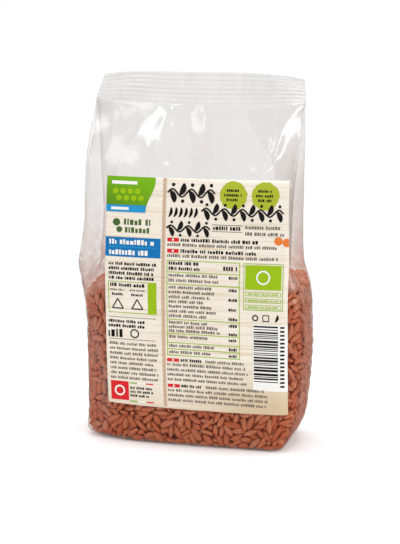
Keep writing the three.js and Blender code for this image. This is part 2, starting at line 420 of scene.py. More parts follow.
    def on_front(self, x: Array, z: Array, distance: Array | float) -> Array:
        """Points on the front panel, moved out from it by the given distance.

        Args:
            x: Places across the pack.
            z: Heights before bending.
            distance: How far out from the panel.

        Returns:
            The points.
        """

        def place(at_x: Array, at_z: Array) -> Array:
            """The bent point of the front panel at x and z."""
            return self.bend(np.stack([at_x, -self.panel_depth(at_x, at_z, True), at_z], -1))

        reach = 0.5
        x, z = np.broadcast_arrays(np.asarray(x, float), np.asarray(z, float))
        normal = np.cross(place(x + reach, z) - place(x - reach, z), place(x, z + reach) - place(x, z - reach))
        normal /= np.linalg.norm(normal, axis=-1, keepdims=True)
        return place(x, z) + normal * np.asarray(distance, float)[..., None]

    def depth_inside(self, points: Array) -> Array:
        """Distance of points from the nearest face of the heap of pasta, positive inside it.

        Args:
            points: Points of the upright pack.

        Returns:
            The distances, negative outside.
        """
        x, y, z = points[..., 0], points[..., 1], points[..., 2]
        middle = (self.right(z) - self.left(z)) / 2.0
        half = (self.right(z) + self.left(z)) / 2.0
        radius = self.radius(z)
        across = np.clip((x - middle) / half, -1.0, 1.0)
        crease = np.where(y < 0.0, self.front_crease(across, z), self.crease_back(z))
        crest = np.where(y < 0.0, self.front(z), self.back(z))
        depth = crease + (crest - crease) * (1.0 - np.abs(across) ** self.crown_power)
        v = np.clip(y / np.maximum(crease - radius, 0.5), -1.0, 1.0)
        left_side = self.gusset_offset(v, z, self.left_fold, self.packed_closing)
        right_side = self.gusset_offset(v, z, self.right_fold, self.packed_closing)
        reach = half + np.where(x < middle, left_side, right_side)
        over_x = np.abs(x - middle) - (reach - radius)
        over_y = np.abs(y) - (depth - radius)
        round_part = np.hypot(np.maximum(over_x, 0.0), np.maximum(over_y, 0.0))
        wall = radius - round_part - np.minimum(np.maximum(over_x, over_y), 0.0)
        edge = self.base_edge
        low_x, low_z = edge - wall, edge - z
        base = edge - np.hypot(np.maximum(low_x, 0.0), np.maximum(low_z, 0.0))
        base -= np.minimum(np.maximum(low_x, low_z), 0.0)
        return np.minimum(base, self.fill_level(x, y) - z)


# ---- Shader node groups ----------------------------------------------------------------------------


class NodeGraph:
    """A thin writer for node trees, so that a finish reads as a list of what it is made of."""

    def __init__(self, tree: Tree) -> None:
        """Keeps the tree that the nodes go into."""
        self.tree = tree

    def put(self, value: Value | None, socket: bpy.types.NodeSocket) -> None:
        """Links an output socket to an input, or sets the input to a plain value.

        Args:
            value: An output socket, a value, or None to leave the input alone.
            socket: The input.
        """
        if isinstance(value, bpy.types.NodeSocket):
            self.tree.links.new(value, socket)
        elif value is not None:
            socket.default_value = value

    def add(self, kind: str, inputs: dict | None = None, **settings: object) -> bpy.types.Node:
        """Adds a shader node.

        Args:
            kind: The node's type name without its prefix.
            inputs: Sockets or values for its inputs, by name or number.
            settings: Its properties by name.

        Returns:
            The node.
        """
        node = self.tree.nodes.new("ShaderNode" + kind)
        for key, value in settings.items():
            setattr(node, key, value)
        for key, value in (inputs or {}).items():
            self.put(value, node.inputs[key])
        return node

    def place(self) -> Value:
        """Places on the object, in metres."""
        return self.add("TexCoord").outputs["Object"]

    def attribute(self, name: str) -> Value:
        """A value that the mesh holds for each vertex."""
        return self.add("Attribute", attribute_name=name).outputs["Fac"]

    def math(self, operation: str, a: Value, b: Value | None = None, clamp: bool = False) -> Value:
        """A Math node's output, its inputs being sockets or numbers."""
        return self.add("Math", {0: a, 1: b}, operation=operation, use_clamp=clamp).outputs[0]

    def noise(self, vector: Value, scale: Value, detail: float = 3.0, roughness: float = 0.5) -> Value:
        """A noise texture's value at the vector."""
        inputs = {"Vector": vector, "Scale": scale, "Detail": detail, "Roughness": roughness}
        return self.add("TexNoise", inputs).outputs["Fac"]

    def ramp(self, value: Value, low: float, high: float, start: float = 0.0, end: float = 1.0) -> Value:
        """Maps value from low..high to start..end, clamped."""
        inputs = {"Value": value, "From Min": low, "From Max": high, "To Min": start, "To Max": end}
        return self.add("MapRange", inputs, clamp=True).outputs[0]

    def mix(self, share: Value, first: Value, second: Value) -> Value:
        """Mixes two colours, each a socket or a colour, by a share."""
        inputs = {0: share, 6: first, 7: second}
        return self.add("Mix", inputs, data_type="RGBA", blend_type="MIX", clamp_factor=True).outputs[2]

    def stretched(self, vector: Value, scale: tuple[float, float, float]) -> Value:
        """The vector scaled along each axis."""
        return self.add("Mapping", {"Vector": vector, "Scale": scale}).outputs[0]

    def bump(self, height: Value, strength: float, distance: float) -> Value:
        """A bump normal from a height."""
        return self.add("Bump", {"Height": height, "Strength": strength, "Distance": distance}).outputs[0]

    def shader(self, kind: str, **inputs: Value) -> Value:
        """A shader's output, its inputs named with _ for each space."""
        return self.add(kind, {name.replace("_", " "): value for name, value in inputs.items()}).outputs[0]

    def blend(self, share: Value, first: Value, second: Value) -> Value:
        """Mixes two shaders by a share."""
        return self.add("MixShader", {0: share, 1: first, 2: second}).outputs[0]

    def light_path(self, ray: str) -> Value:
        """1 for rays of the named kind, 0 for others."""
        return self.add("LightPath").outputs[ray]


def new_group(
    name: str, inputs: list[tuple[str, str, object]], outputs: list[tuple[str, str]]
) -> tuple[NodeGraph, bpy.types.Node, bpy.types.Node]:
    """Starts a shader node group.

    Args:
        name: The group's name.
        inputs: Name, socket type and default of each input.
        outputs: Name and socket type of each output.

    Returns:
        The graph, its input node and its output node.
    """
    tree = bpy.data.node_groups.new(name, "ShaderNodeTree")
    for label, kind, default in inputs:
        socket = tree.interface.new_socket(label, in_out="INPUT", socket_type=kind)
        if default is not None:
            socket.default_value = default
    for label, kind in outputs:
        tree.interface.new_socket(label, in_out="OUTPUT", socket_type=kind)
    return NodeGraph(tree), tree.nodes.new("NodeGroupInput"), tree.nodes.new("NodeGroupOutput")


def mottle_group() -> Tree:
    """Uneven tone for a surface: a colour varied between a lighter and a darker one, and a height.

    Returns:
        The node group.
    """
    graph, given, out = new_group(
        "Mottle",
        [
            ("Vector", "NodeSocketVector", None),
            ("Color", "NodeSocketColor", (0.5, 0.5, 0.5, 1.0)),
            ("Scale", "NodeSocketFloat", 300.0),
            ("Amount", "NodeSocketFloat", 0.1),
        ],
        [("Color", "NodeSocketColor"), ("Height", "NodeSocketFloat")],
    )
    height = graph.noise(given.outputs["Vector"], given.outputs["Scale"], 4.0)
    swing = graph.math("SUBTRACT", height, 0.5)
    tone = graph.math("ADD", graph.math("MULTIPLY", swing, given.outputs["Amount"]), 1.0)
    scaled = graph.add("VectorMath", operation="SCALE")
    graph.put(given.outputs["Color"], scaled.inputs[0])
    graph.put(tone, scaled.inputs["Scale"])
    graph.put(scaled.outputs[0], out.inputs["Color"])
    graph.put(height, out.inputs["Height"])
    return graph.tree


# ---- Finishes --------------------------------------------------------------------------------------


def start_material(name: str) -> tuple[Material, NodeGraph]:
    """A new empty node material and its graph.

    Args:
        name: The material's name.

    Returns:
        The material and the graph that writes its nodes.
    """
    material = bpy.data.materials.new(name)
    material.use_nodes = True
    material.node_tree.nodes.clear()
    return material, NodeGraph(material.node_tree)


@dataclass(frozen=True)
class Mottle:
    """How a surface is mottled: spots per metre, swing of tone, and the relief's strength and height in m."""

    scale: float
    amount: float
    relief: float
    height: float

    def dress(self, graph: NodeGraph, group: Tree, tone: Value, **looks: Value) -> None:
        """Ends a material in a mottled Principled shader.

        Args:
            graph: The material's graph.
            group: The shared mottle group.
            tone: The colour before it is mottled.
            looks: The shader's other inputs, named with _ for each space.
        """
        spots = {"Vector": graph.place(), "Color": tone, "Scale": self.scale, "Amount": self.amount}
        placed = graph.add("Group", spots, node_tree=group)
        normal = graph.bump(placed.outputs["Height"], self.relief, self.height)
        surface = graph.shader("BsdfPrincipled", Base_Color=placed.outputs["Color"], Normal=normal, **looks)
        graph.add("OutputMaterial", {"Surface": surface})


@dataclass(frozen=True)
class FilmFinish:
    """Clear glossy film with a faint white haze, a pink veil that is partly pasta meal inside it and partly painted
    reflection and shade, and a dimming that is partly layered film and partly painted shade.
    """

    clear: Colour = (0.95, 0.946, 0.942, 1.0)
    thin: Colour = (0.997, 0.996, 0.995, 1.0)
    # Dimmed colour where the film is layered, which is also painted shade on the rims and towards the seal's ends.
    murk_and_painted_shade: Colour = (0.78, 0.75, 0.72, 1.0)
    veil: Colour = (0.56, 0.56, 0.56, 1.0)
    # Pink of the film's veil: pasta meal, and also painted reflection of the pasta near the fill and a painted shade
    # patch.
    meal_reflection_and_shade: Colour = linear(206, 152, 130)
    streak_scale: tuple[float, float, float] = (220.0, 220.0, 40.0)
    streaks: tuple[float, float, float, float] = (0.35, 0.7, 0.75, 1.3)
    speckle_scale: float = 260.0
    speckles: tuple[float, float, float, float] = (0.38, 0.66, 0.4, 1.6)
    ripple_scale: float = 420.0
    ripple: tuple[float, float] = (0.12, 0.0006)
    roughness: float = 0.12
    ior: float = 1.5
    surfaces: float = 1.5
    most_mirror: float = 0.32
    inner_gloss: float = 0.08

    def build(self) -> Material:
        """Builds the film's material.

        Returns:
            The material.
        """
        material, graph = start_material("clear_film")
        place = graph.place()
        streaks = graph.noise(graph.stretched(place, self.streak_scale), 1.0, 4.0)
        speckles = graph.noise(place, self.speckle_scale, 5.0, 0.7)
        white = graph.math("MULTIPLY", graph.attribute("haze"), graph.ramp(streaks, *self.streaks))
        # Pink veil: partly meal dust, partly painted reflection of the pasta and painted shade.
        pink = graph.math("MULTIPLY", graph.attribute("dust_and_reflection"), graph.ramp(speckles, *self.speckles))
        share = graph.math("ADD", white, pink, clamp=True)
        tone = graph.mix(graph.math("DIVIDE", pink, graph.math("MAXIMUM", share, 0.001)), self.veil, self.meal_reflection_and_shade)
        passing = graph.mix(graph.attribute("inner"), self.clear, self.thin)
        # The film dims what is behind it: partly layered film, partly painted shade.
        passing = graph.mix(graph.attribute("murk_and_painted_shade"), passing, self.murk_and_painted_shade)
        body = graph.blend(
            share, graph.shader("BsdfTransparent", Color=passing), graph.shader("BsdfDiffuse", Color=tone)
        )
        normal = graph.bump(graph.noise(place, self.ripple_scale, 2.0), *self.ripple)
        gloss = graph.shader("BsdfGlossy", Color=WHITE, Roughness=self.roughness, Normal=normal)
        inside = graph.add("NewGeometry").outputs["Backfacing"]
        fresnel = graph.shader("Fresnel", IOR=graph.ramp(inside, 0.0, 1.0, self.ior, 1.0 / self.ior))
        mirror = graph.math("MINIMUM", graph.math("MULTIPLY", fresnel, self.surfaces), self.most_mirror)
        dull = graph.ramp(graph.attribute("matt"), 0.0, 1.0, 1.0, self.inner_gloss)
        surface = graph.blend(graph.math("MULTIPLY", mirror, dull), body, gloss)
        graph.add("OutputMaterial", {"Surface": surface})
        return material


@dataclass(frozen=True)
class PastaFinish:
    """Dry red lentil pasta: matt, each grain its own tone, and mealy, with grains deep in the heap painted redder as
    painted bounce light.
    """

    dark: Colour = linear(200, 101, 56)
    light: Colour = linear(213, 136, 98)
    # Redder colour for grains deep in the heap and the core: painted bounce light in the gaps between grains.
    deep: Colour = linear(224, 106, 56)
    soft_glow: float = 0.5
    glow_reach: tuple[float, float, float] = (1.6, 0.5, 0.25)
    roughness: float = 0.5
    mottle: Mottle = Mottle(900.0, 0.55, 0.25, 0.0003)

    def build(self, group: Tree) -> Material:
        """Builds the pasta's material around the shared mottle group.

        Args:
            group: The shared mottle group.

        Returns:
            The material.
        """
        material, graph = start_material("lentil_pasta")
        tone = graph.mix(graph.attribute("tint"), self.dark, self.light)
        # Painted bounce light: grains deep in the heap are tinted redder.
        tone = graph.mix(graph.attribute("deep"), tone, self.deep)
        self.mottle.dress(
            graph,
            group,
            tone,
            Roughness=self.roughness,
            Subsurface_Weight=self.soft_glow,
            Subsurface_Radius=self.glow_reach,
            Subsurface_Scale=MM,
        )
        return material


@dataclass(frozen=True)
class PaperFinish:
    """Coated label paper printed all over with pale wood planks, darkened towards its lower right by painted shade."""

    pale: Colour = linear(249, 242, 231)
    deep: Colour = linear(243, 232, 215)
    line: Colour = linear(220, 198, 164)
    # Darker paper colour for the lower right: painted shade.
    low: Colour = linear(214, 190, 154)
    painted_shade_height: tuple[float, float] = (0.048, 0.024)
    painted_shade_across: tuple[float, float, float, float] = (-0.005, 0.034, 0.32, 0.95)
    plank_scale: tuple[float, float, float] = (9.0, 9.0, 42.0)
    grain_scale: tuple[float, float, float] = (26.0, 26.0, 900.0)
    grain: tuple[float, float, float, float] = (0.5, 0.72, 0.0, 0.85)
    roughness: float = 0.55
    specular: float = 0.25
    mottle: Mottle = Mottle(1500.0, 0.06, 0.1, 0.0001)

    def build(self, group: Tree) -> Material:
        """Builds the paper's material around the shared mottle group.

        Args:
            group: The shared mottle group.

        Returns:
            The material.
        """
        material, graph = start_material("label_paper")
        place = graph.place()
        broad = graph.noise(graph.stretched(place, self.plank_scale), 1.0, 3.0)
        fine = graph.noise(graph.stretched(place, self.grain_scale), 1.0, 5.0, 0.6)
        spot = graph.add("SeparateXYZ", {0: place}).outputs
        # Painted shade: the paper darkens towards its bottom, most at the right.
        painted_shade_share = graph.math(
            "MULTIPLY", graph.ramp(spot["Z"], *self.painted_shade_height), graph.ramp(spot["X"], *self.painted_shade_across)
        )
        upper = graph.mix(graph.ramp(broad, 0.3, 0.7), self.pale, self.deep)
        tone = graph.mix(graph.ramp(fine, *self.grain), graph.mix(painted_shade_share, upper, self.low), self.line)
        self.mottle.dress(graph, group, tone, Roughness=self.roughness, Specular_IOR_Level=self.specular)
        return material


@dataclass(frozen=True)
class InkFinish:
    """One flat printed ink with a slight mottle."""

    name: str
    colour: Colour
    shade: float = 0.45
    roughness: float = 0.5
    specular: float = 0.25
    mottle: Mottle = Mottle(700.0, 0.12, 0.05, 0.0001)

    def build(self, group: Tree) -> Material:
        """Builds the ink's material around the shared mottle group.

        Args:
            group: The shared mottle group.

        Returns:
            The material.
        """
        material, graph = start_material("ink_" + self.name)
        deep = tuple(channel * self.shade for channel in self.colour[:3]) + (1.0,)
        ink = graph.mix(graph.attribute("shade"), self.colour, deep)
        self.mottle.dress(graph, group, ink, Roughness=self.roughness, Specular_IOR_Level=self.specular)
        return material


# ---- The film --------------------------------------------------------------------------------------


@dataclass(frozen=True)
class Crease:
    """A fold line pressed into the film, on the tube unrolled flat.

    Its points are (distance round the tube from the front's middle, height). Height is positive where
    the film stands proud, and width is the half width of the fold.
    """

    points: tuple[tuple[float, float], ...]
    height: float
    width: float


CREASES = (
    Crease(((52, 168.5), (48, 165.5), (44.5, 161), (42.5, 156), (41.5, 151), (41, 146.5)), 2.4, 4.6),
    Crease(((42.5, 152), (41.5, 147), (39.3, 143), (35.5, 139.5), (30.5, 136.5)), 1.6, 2.7),
    Crease(((-9.5, 169), (-12.5, 162), (-14.2, 154), (-13.5, 146), (-11, 136)), 4.0, 6.8),
    Crease(((4.5, 169), (6.5, 162), (7.5, 153)), 1.5, 4.8),
    Crease(((-53, 166), (-53, 150), (-52, 132)), 1.0, 10.0),
    Crease(((-53, 91), (-47, 93), (-39, 94)), 0.9, 1.6),
    Crease(((-53, 91), (-48, 84), (-45, 76)), 0.8, 1.5),
    Crease(((-53, 90), (-52, 80), (-50, 70)), 0.7, 1.4),
    Crease(((-52, 47), (-49, 33), (-45, 22), (-40, 15)), 0.8, 1.3),
    Crease(((-50, 30), (-47, 17), (-43, 8)), 0.7, 1.2),
    Crease(((-52, 60), (-51, 44), (-48, 34)), 0.6, 1.2),
    Crease(((-46, 138), (-46.5, 132), (-44, 127)), 0.7, 2.2),
)


@dataclass
class FilmBag:
    """The clear film: one sheet round the pasta, folded at the sides, creased and crimped."""

    form: BagForm
    panel_steps: int = 104
    corner_steps: int = 8
    side_steps: int = 22
    level_step: float = 1.15
    ridges: int = 7
    ridge_relief: float = 0.12
    fold_closing: float = 3.0
    end_shift: int = 2
    seam_half: float = 5.5
    seam_relief: float = 0.5
    pleat_height: float = 0.14
    crumple_height: float = 0.8
    bump_height: float = 0.055
    pleats: tuple[int, ...] = (7, 10, 13, 17, 22)
    pleat_fade: float = 26.0
    crumples: int = 14
    bumps: int = 18
    seed: int = 3

    def columns(self) -> list[tuple[str, Array]]:
        """The stretches of a level, from the fold of the left side round the front.

        Returns:
            The name of each stretch and the places along it.
        """
        panel = np.arange(1, self.panel_steps + 1) / self.panel_steps
        corner = np.arange(1, self.corner_steps + 1) / self.corner_steps
        side = np.arange(1, self.side_steps + 1) / self.side_steps
        return [
            ("left", -side),
            ("front_left", corner),
            ("front", panel),
            ("front_right", corner),
            ("right", -1.0 + side),
            ("right", side),
            ("back_right", corner),
            ("back", panel),
            ("back_left", corner),
            ("left", 1.0 - side),
        ]

    def levels(self) -> Array:
        """Heights of the film's rows, closer at the base's edge and in the crimped band.

        Returns:
            The heights, from the floor up.
        """
        edge = self.form.base_edge
        foot = edge * (1.0 - np.cos(np.linspace(0.0, math.pi / 2.0, 5)))
        wall = np.linspace(edge, self.form.seal_bottom, int((self.form.seal_bottom - edge) / self.level_step))
        band = np.linspace(self.form.seal_bottom, self.form.top, self.ridges * 8 + 1)
        return np.concatenate([foot[:-1], wall[:-1], band])

    def wall(self, z: Array) -> tuple[Array, Array]:
        """The upright wall at given heights.

        Args:
            z: Heights, one for each row.

        Returns:
            Points (rows, columns, 3), and the distance round the tube of each column.
        """
        form, rows = self.form, []
        z = z[:, None]
        left = -form.left(z) + form.base_inset(z)
        right = form.right(z) - form.base_inset(z)
        radius = form.radius(z)
        width, gusset = form.half_width, form.gusset_half
        round_tube = []
        for stretch, t in self.columns():
            t = t[None, :]
            if stretch in ("left", "right"):
                edge = left if stretch == "left" else right
                sign = -1.0 if stretch == "left" else 1.0
                fold = form.left_fold if stretch == "left" else form.right_fold
                x = edge + sign * form.gusset_offset(t, z, fold, self.fold_closing)
                front = -form.panel_depth(edge, z, True)
                back = form.panel_depth(edge, z, False)
                y = np.where(t < 0.0, -t * front, t * back)
                round_tube.append(sign * (width + gusset * (t[0] + 1.0)))
            else:
                at_front = stretch.startswith("front")
                if stretch in ("front", "back"):
                    start, end = (left + radius, right - radius)
                    start, end = (start, end) if at_front else (end, start)
                    x = start + (end - start) * t
                else:
                    at_left = stretch.endswith("left")
                    outwards = stretch in ("front_right", "back_left")
                    angle = (t if outwards else 1.0 - t) * math.pi / 2.0
                    if at_left:
                        x = left + radius - radius * np.sin(angle)
                    else:
                        x = right - radius + radius * np.sin(angle)
                y = form.panel_depth(x, z, at_front) * (-1.0 if at_front else 1.0)
                share = (x - left) / (right - left) * 2.0 - 1.0
                middle = share[len(share) // 2]
                around = width * middle if at_front else width + 2.0 * gusset + width * (1.0 - middle)
                round_tube.append(around)
            rows.append(np.stack(np.broadcast_arrays(x, y, z * np.ones_like(t)), -1))
        around = np.concatenate(round_tube)
        around = (around + form.girth / 2.0) % form.girth - form.girth / 2.0
        return np.concatenate(rows, axis=1), around

    def crease_height(self, s: Array, z: Array) -> Array:
        """Height of the pressed folds at places on the unrolled tube.

        Args:
            s: Distances round the tube.
            z: Heights.

        Returns:
            How far the film is lifted or pressed.
        """
        height = np.zeros_like(s)
        for crease in CREASES:
            nearest = np.full_like(s, 1e9)
            ends = np.zeros_like(s)
            count = len(crease.points) - 1
            for k, (a, b) in enumerate(zip(crease.points[:-1], crease.points[1:])):
                run_s, run_z = b[0] - a[0], b[1] - a[1]
                length = run_s**2 + run_z**2
                t = np.clip(((s - a[0]) * run_s + (z - a[1]) * run_z) / length, 0.0, 1.0)
                gap = np.hypot(s - a[0] - t * run_s, z - a[1] - t * run_z)
                closer = gap < nearest
                nearest = np.where(closer, gap, nearest)
                ends = np.where(closer, (k + t) / count, ends)
            fade = np.sin(math.pi * np.clip(ends, 0.04, 0.96)) ** 0.6
            width = crease.width * (0.35 + 0.65 * fade)
            height += crease.height * fade * np.exp(-((nearest / width) ** 1.4))
        return height

    def wrinkles(self, s: Array, z: Array) -> Array:
        """Loose waves of the film: pleats under the seal, crumples above the fill, bumps below it.

        Args:
            s: Distances round the tube.
            z: Heights.

        Returns:
            How far the film stands out.
        """
        form = self.form
        rng = np.random.default_rng(self.seed)
        turn = 2.0 * math.pi / form.girth
        below_seal = form.seal_bottom - z
        pleats = np.zeros_like(s)
        for waves in self.pleats:
            pleats += np.sin(waves * turn * s + rng.uniform(0, 6.28)) * 5.0 / waves
        fading = np.exp(-np.maximum(below_seal, 0.0) / self.pleat_fade) * smooth(0.0, 7.0, below_seal)
        pleats *= self.pleat_height * fading
        crumple = np.zeros_like(s)
        for _ in range(self.crumples):
            waves = int(rng.integers(2, 16))
            slope = rng.uniform(-0.16, 0.16)
            phase = waves * turn * s + slope * z + rng.uniform(0, 6.28)
            crumple += (1.0 - np.abs(np.sin(phase))) ** 2 * rng.uniform(0.3, 1.0)
        empty = smooth(form.fill_height - 4.0, form.fill_height + 12.0, z) * smooth(0.0, 8.0, below_seal)
        crumple = (crumple / self.crumples - 0.3) * self.crumple_height * empty
        bumps = np.zeros_like(s)
        for _ in range(self.bumps):
            waves = int(rng.integers(18, 46)) * rng.choice((-1, 1))
            bumps += np.sin(waves * turn * s + rng.uniform(0.25, 0.95) * z + rng.uniform(0, 6.28))
        bumps *= self.bump_height * smooth(form.fill_height + 4.0, form.fill_height - 6.0, z) * smooth(2.0, 8.0, z)
        return pleats + crumple + bumps

    def behind_label(self, s: Array, z: Array, label: "Label") -> Array:
        """1 where the label holds the film flat, easing to 0 just outside it."""
        across = smooth(label.left - 5.0, label.left - 1.0, s) * smooth(label.right + 6.0, label.right + 1.0, s)
        return across * smooth(label.bottom - 4.0, label.bottom - 0.5, z) * smooth(label.top + 4.0, label.top + 0.5, z)

    def surface(self, label: "Label") -> tuple[Array, Array, Array, Array]:
        """Works out the film's form.

        Args:
            label: The label, which holds the film flat behind it.

        Returns:
            Points (rows, columns, 3), distances round the tube, heights before bending, and the height of
            the pressed folds.
        """
        form = self.form
        levels = self.levels()
        points, around = self.wall(levels)
        s = np.broadcast_to(around[None, :], points.shape[:2])
        z = np.broadcast_to(levels[:, None], points.shape[:2])
        normals = grid_normals(points)
        folds = self.crease_height(s, z) * (1.0 - self.behind_label(s, z, label))
        relief = self.wrinkles(s, z) * (1.0 - self.behind_label(s, z, label)) + folds
        from_seam = form.girth / 2.0 - np.abs(s)
        relief = relief + self.seam_relief * smooth(self.seam_half + 1.0, self.seam_half, from_seam) * (
            smooth(form.base_edge, 8.0, z) * smooth(form.seal_bottom, form.seal_bottom - 5.0, z)
        )
        points = points + normals * relief[..., None]
        share = np.clip((levels - form.seal_bottom) / form.seal_height, 0.0, 1.0)
        crimp = self.ridge_relief * np.sin(2.0 * math.pi * self.ridges * share) * (levels >= form.seal_bottom)
        points[..., 1] += crimp[:, None]
        return form.bend(points), s, z, folds

    def build(self, material: Material, label: "Label") -> bpy.types.Object:
        """Builds the film round the pasta.

        Args:
            material: The film's finish.
            label: The label, which holds the film flat behind it.

        Returns:
            The film, which stands for the CAD bag.
        """
        form = self.form
        points, s, z, folds = self.surface(label)
        rows, columns = points.shape[:2]
        faces = loft_faces(rows, columns) + end_faces(rows, columns, self.end_shift, with_top=False)
        looks = FilmLooks(self).at(points, s, z, folds)
        film = make_piece("film_bag", points.reshape(-1, 3), faces, material, looks)
        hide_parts(BAG_NODE)
        return film


@dataclass
class FilmLooks:
    """What the film's finish varies with, as shares from 0 to 1.

    In all of it s is the distance round the tube from the front's middle, z the height and level the
    height of the fill. The rims are the strips where panel and gusset lie on each other.
    """

    film: FilmBag
    fill_edge: float = 2.0
    clear_haze: float = 0.024
    filled_haze: float = 0.002
    left_haze: tuple[float, float] = (0.06, 0.04)
    left_haze_at: Stretch = Stretch(-58.0, -53.0, -46.0, -38.0)
    right_haze: float = 0.14
    right_haze_at: Stretch = Stretch(47.0, 50.0, 54.0, 60.0)
    right_haze_below: Ease = Ease(150.0, 118.0)
    gusset_haze: float = -0.016
    gusset_at: Stretch = Stretch(54.0, 59.0, 101.0, 106.0)
    seam_haze: float = 0.03
    fold_haze: tuple[float, float] = (0.03, 0.12)
    seal_haze: tuple[float, float] = (0.06, 0.26)
    # Meal just above the fill, which also stands as painted reflection of the pasta there.
    low_dust_and_reflection: tuple[float, float, float] = (0.08, 0.44, 14.0)
    high_dust: tuple[float, float, float] = (0.01, 0.05, 45.0)
    dusty_margin: Stretch = Stretch(38.0, 46.0, 106.0, 114.0)
    # A darker pink patch in the film's upper middle: painted shade.
    painted_shade_patch: float = 0.06
    painted_shade_centre: tuple[float, float] = (10.0, 146.0)
    painted_shade_reach: tuple[float, float] = (11.0, 9.0)
    side_dust: float = 0.4
    side_dust_at: Stretch = Stretch(53.0, 57.0, 99.0, 107.0)
    # The film's dimming on the rims and in the seal: partly layered film, partly painted shade, most just above the
    # fill at the left and towards the seal's ends.
    left_murk_and_shade: tuple[float, float, float] = (0.28, 0.6, 16.0)
    left_murk_and_shade_at: Stretch = Stretch(-60.0, -53.0, -46.0, -38.0)
    right_murk_and_shade: float = 0.64
    right_murk_and_shade_at: tuple[Stretch, ...] = (Stretch(47.0, 50.0, 55.0, 62.0), Stretch(78.0, 86.0, 109.0, 116.0))
    right_murk_and_shade_below: Ease = Ease(158.0, 122.0)
    seal_murk_and_shade: tuple[float, float] = (0.03, 0.24)
    seal_shade_from: Ease = Ease(14.0, 42.0)
    inner_at: Stretch = Stretch(52.0, 57.0, 103.0, 108.0)
    seal_matt: float = 0.85

    def empty(self, z: Array, level: Array) -> Array:
        """1 above the fill and 0 below it."""
        return smooth(level - self.fill_edge, level + self.fill_edge, z)

    def haze(self, s: Array, z: Array, level: Array, folds: Array) -> Array:
        """How white the film is: a little above the fill, more along folds, most in the crimped lines.

        Args:
            s: Distances round the tube.
            z: Heights.
            level: Heights of the fill there.
            folds: Heights of the pressed folds.

        Returns:
            Shares of white.
        """
        film, form, empty = self.film, self.film.form, self.empty(z, level)
        turns = film.ridges * np.clip((z - form.seal_bottom) / form.seal_height, 0.0, 0.999)
        strength = np.random.default_rng(film.seed).uniform(0.25, 1.0, film.ridges)[turns.astype(int)]
        lines = strength * np.maximum(np.sin(2.0 * math.pi * turns), 0.0) ** 3
        left = self.left_haze_at(s)
        right = self.right_haze_at(s) * self.right_haze_below(z)
        from_seam = form.girth / 2.0 - np.abs(s)
        seam = self.seam_haze * smooth(film.seam_half + 0.8, film.seam_half - 0.4, from_seam)
        above = self.clear_haze + self.left_haze[0] * left + self.right_haze * right + seam
        above = above + self.gusset_haze * self.gusset_at(np.abs(s))
        below = self.filled_haze + self.left_haze[1] * left + seam
        pressed = np.clip(np.abs(folds), 0.0, 1.0) * (self.fold_haze[0] * empty + self.fold_haze[1] * (1.0 - empty))
        sealed = form.in_seal(z) * (self.seal_haze[0] + self.seal_haze[1] * lines)
        return above * empty + below * (1.0 - empty) + pressed + sealed

    def dust_and_reflection(self, s: Array, z: Array, level: Array) -> Array:
        """How thick the film's pink veil is: pasta meal clinging inside, most just above the fill and at the sides,
        where just above the fill it is also a painted reflection of the pasta, and a patch of painted shade in the
        upper middle.

        Args:
            s: Distances round the tube.
            z: Heights.
            level: Heights of the fill there.

        Returns:
            Shares of the pink veil.
        """
        empty, above = self.empty(z, level), np.maximum(z - level, 0.0)
        margin = self.dusty_margin(np.abs(s))
        middle, more, reach = self.low_dust_and_reflection
        low = (middle + more * margin) * np.exp(-above / reach)
        middle, more, reach = self.high_dust
        high = middle + more * margin * np.exp(-above / reach)
        # The patch of painted shade in the upper middle.
        off_s = (s - self.painted_shade_centre[0]) / self.painted_shade_reach[0]
        off_z = (z - self.painted_shade_centre[1]) / self.painted_shade_reach[1]
        painted_shade_patch = self.painted_shade_patch * np.exp(-(off_s**2) - off_z**2)
        fading = smooth(self.film.form.seal_bottom + 2.0, self.film.form.seal_bottom - 4.0, z)
        return empty * (low + high + painted_shade_patch) * fading + self.side_dust * self.side_dust_at(s) * (1.0 - empty)

    def murk_and_painted_shade(self, x: Array, s: Array, z: Array, level: Array) -> Array:
        """How far the film dims what is behind it: partly where folds lie on each other and in the seal, and partly
        painted shade on the rims, most just above the fill at the left, and towards the seal's ends.

        Args:
            x: Places across the pack.
            s: Distances round the tube.
            z: Heights.
            level: Heights of the fill there.

        Returns:
            Shares of the dimmed colour.
        """
        seal = self.film.form.in_seal(z)
        high, near, reach = self.left_murk_and_shade
        left = self.left_murk_and_shade_at(s) * (high + near * np.exp(-np.maximum(z - level, 0.0) / reach))
        right = sum(strip(s) for strip in self.right_murk_and_shade_at) * self.right_murk_and_shade_below(z) * self.right_murk_and_shade
        sealed = seal * (self.seal_murk_and_shade[0] + self.seal_murk_and_shade[1] * self.seal_shade_from(np.abs(x)))
        return (left + right) * self.empty(z, level) * (1.0 - seal) + sealed

    def at(self, points: Array, s: Array, z: Array, folds: Array) -> dict[str, Array]:
        """The values for each of the film's points.

        Args:
            points: The points.
            s: Distances round the tube.
            z: Heights before bending.
            folds: Heights of the pressed folds.

        Returns:
            The values by the names that the finish reads.
        """
        seal = self.film.form.in_seal(z)
        level = self.film.form.fill_level(points[..., 0], points[..., 1])
        inner = self.empty(z, level) * self.inner_at(np.abs(s)) * (1.0 - seal)
        looks = {
            "haze": self.haze(s, z, level, folds),
            "dust_and_reflection": self.dust_and_reflection(s, z, level),
            "inner": inner,
            "matt": np.maximum(inner, self.seal_matt * seal),
            "murk_and_painted_shade": self.murk_and_painted_shade(points[..., 0], s, z, level),
        }
        return {name: values.reshape(-1) for name, values in looks.items()}


# ---- The pasta -------------------------------------------------------------------------------------


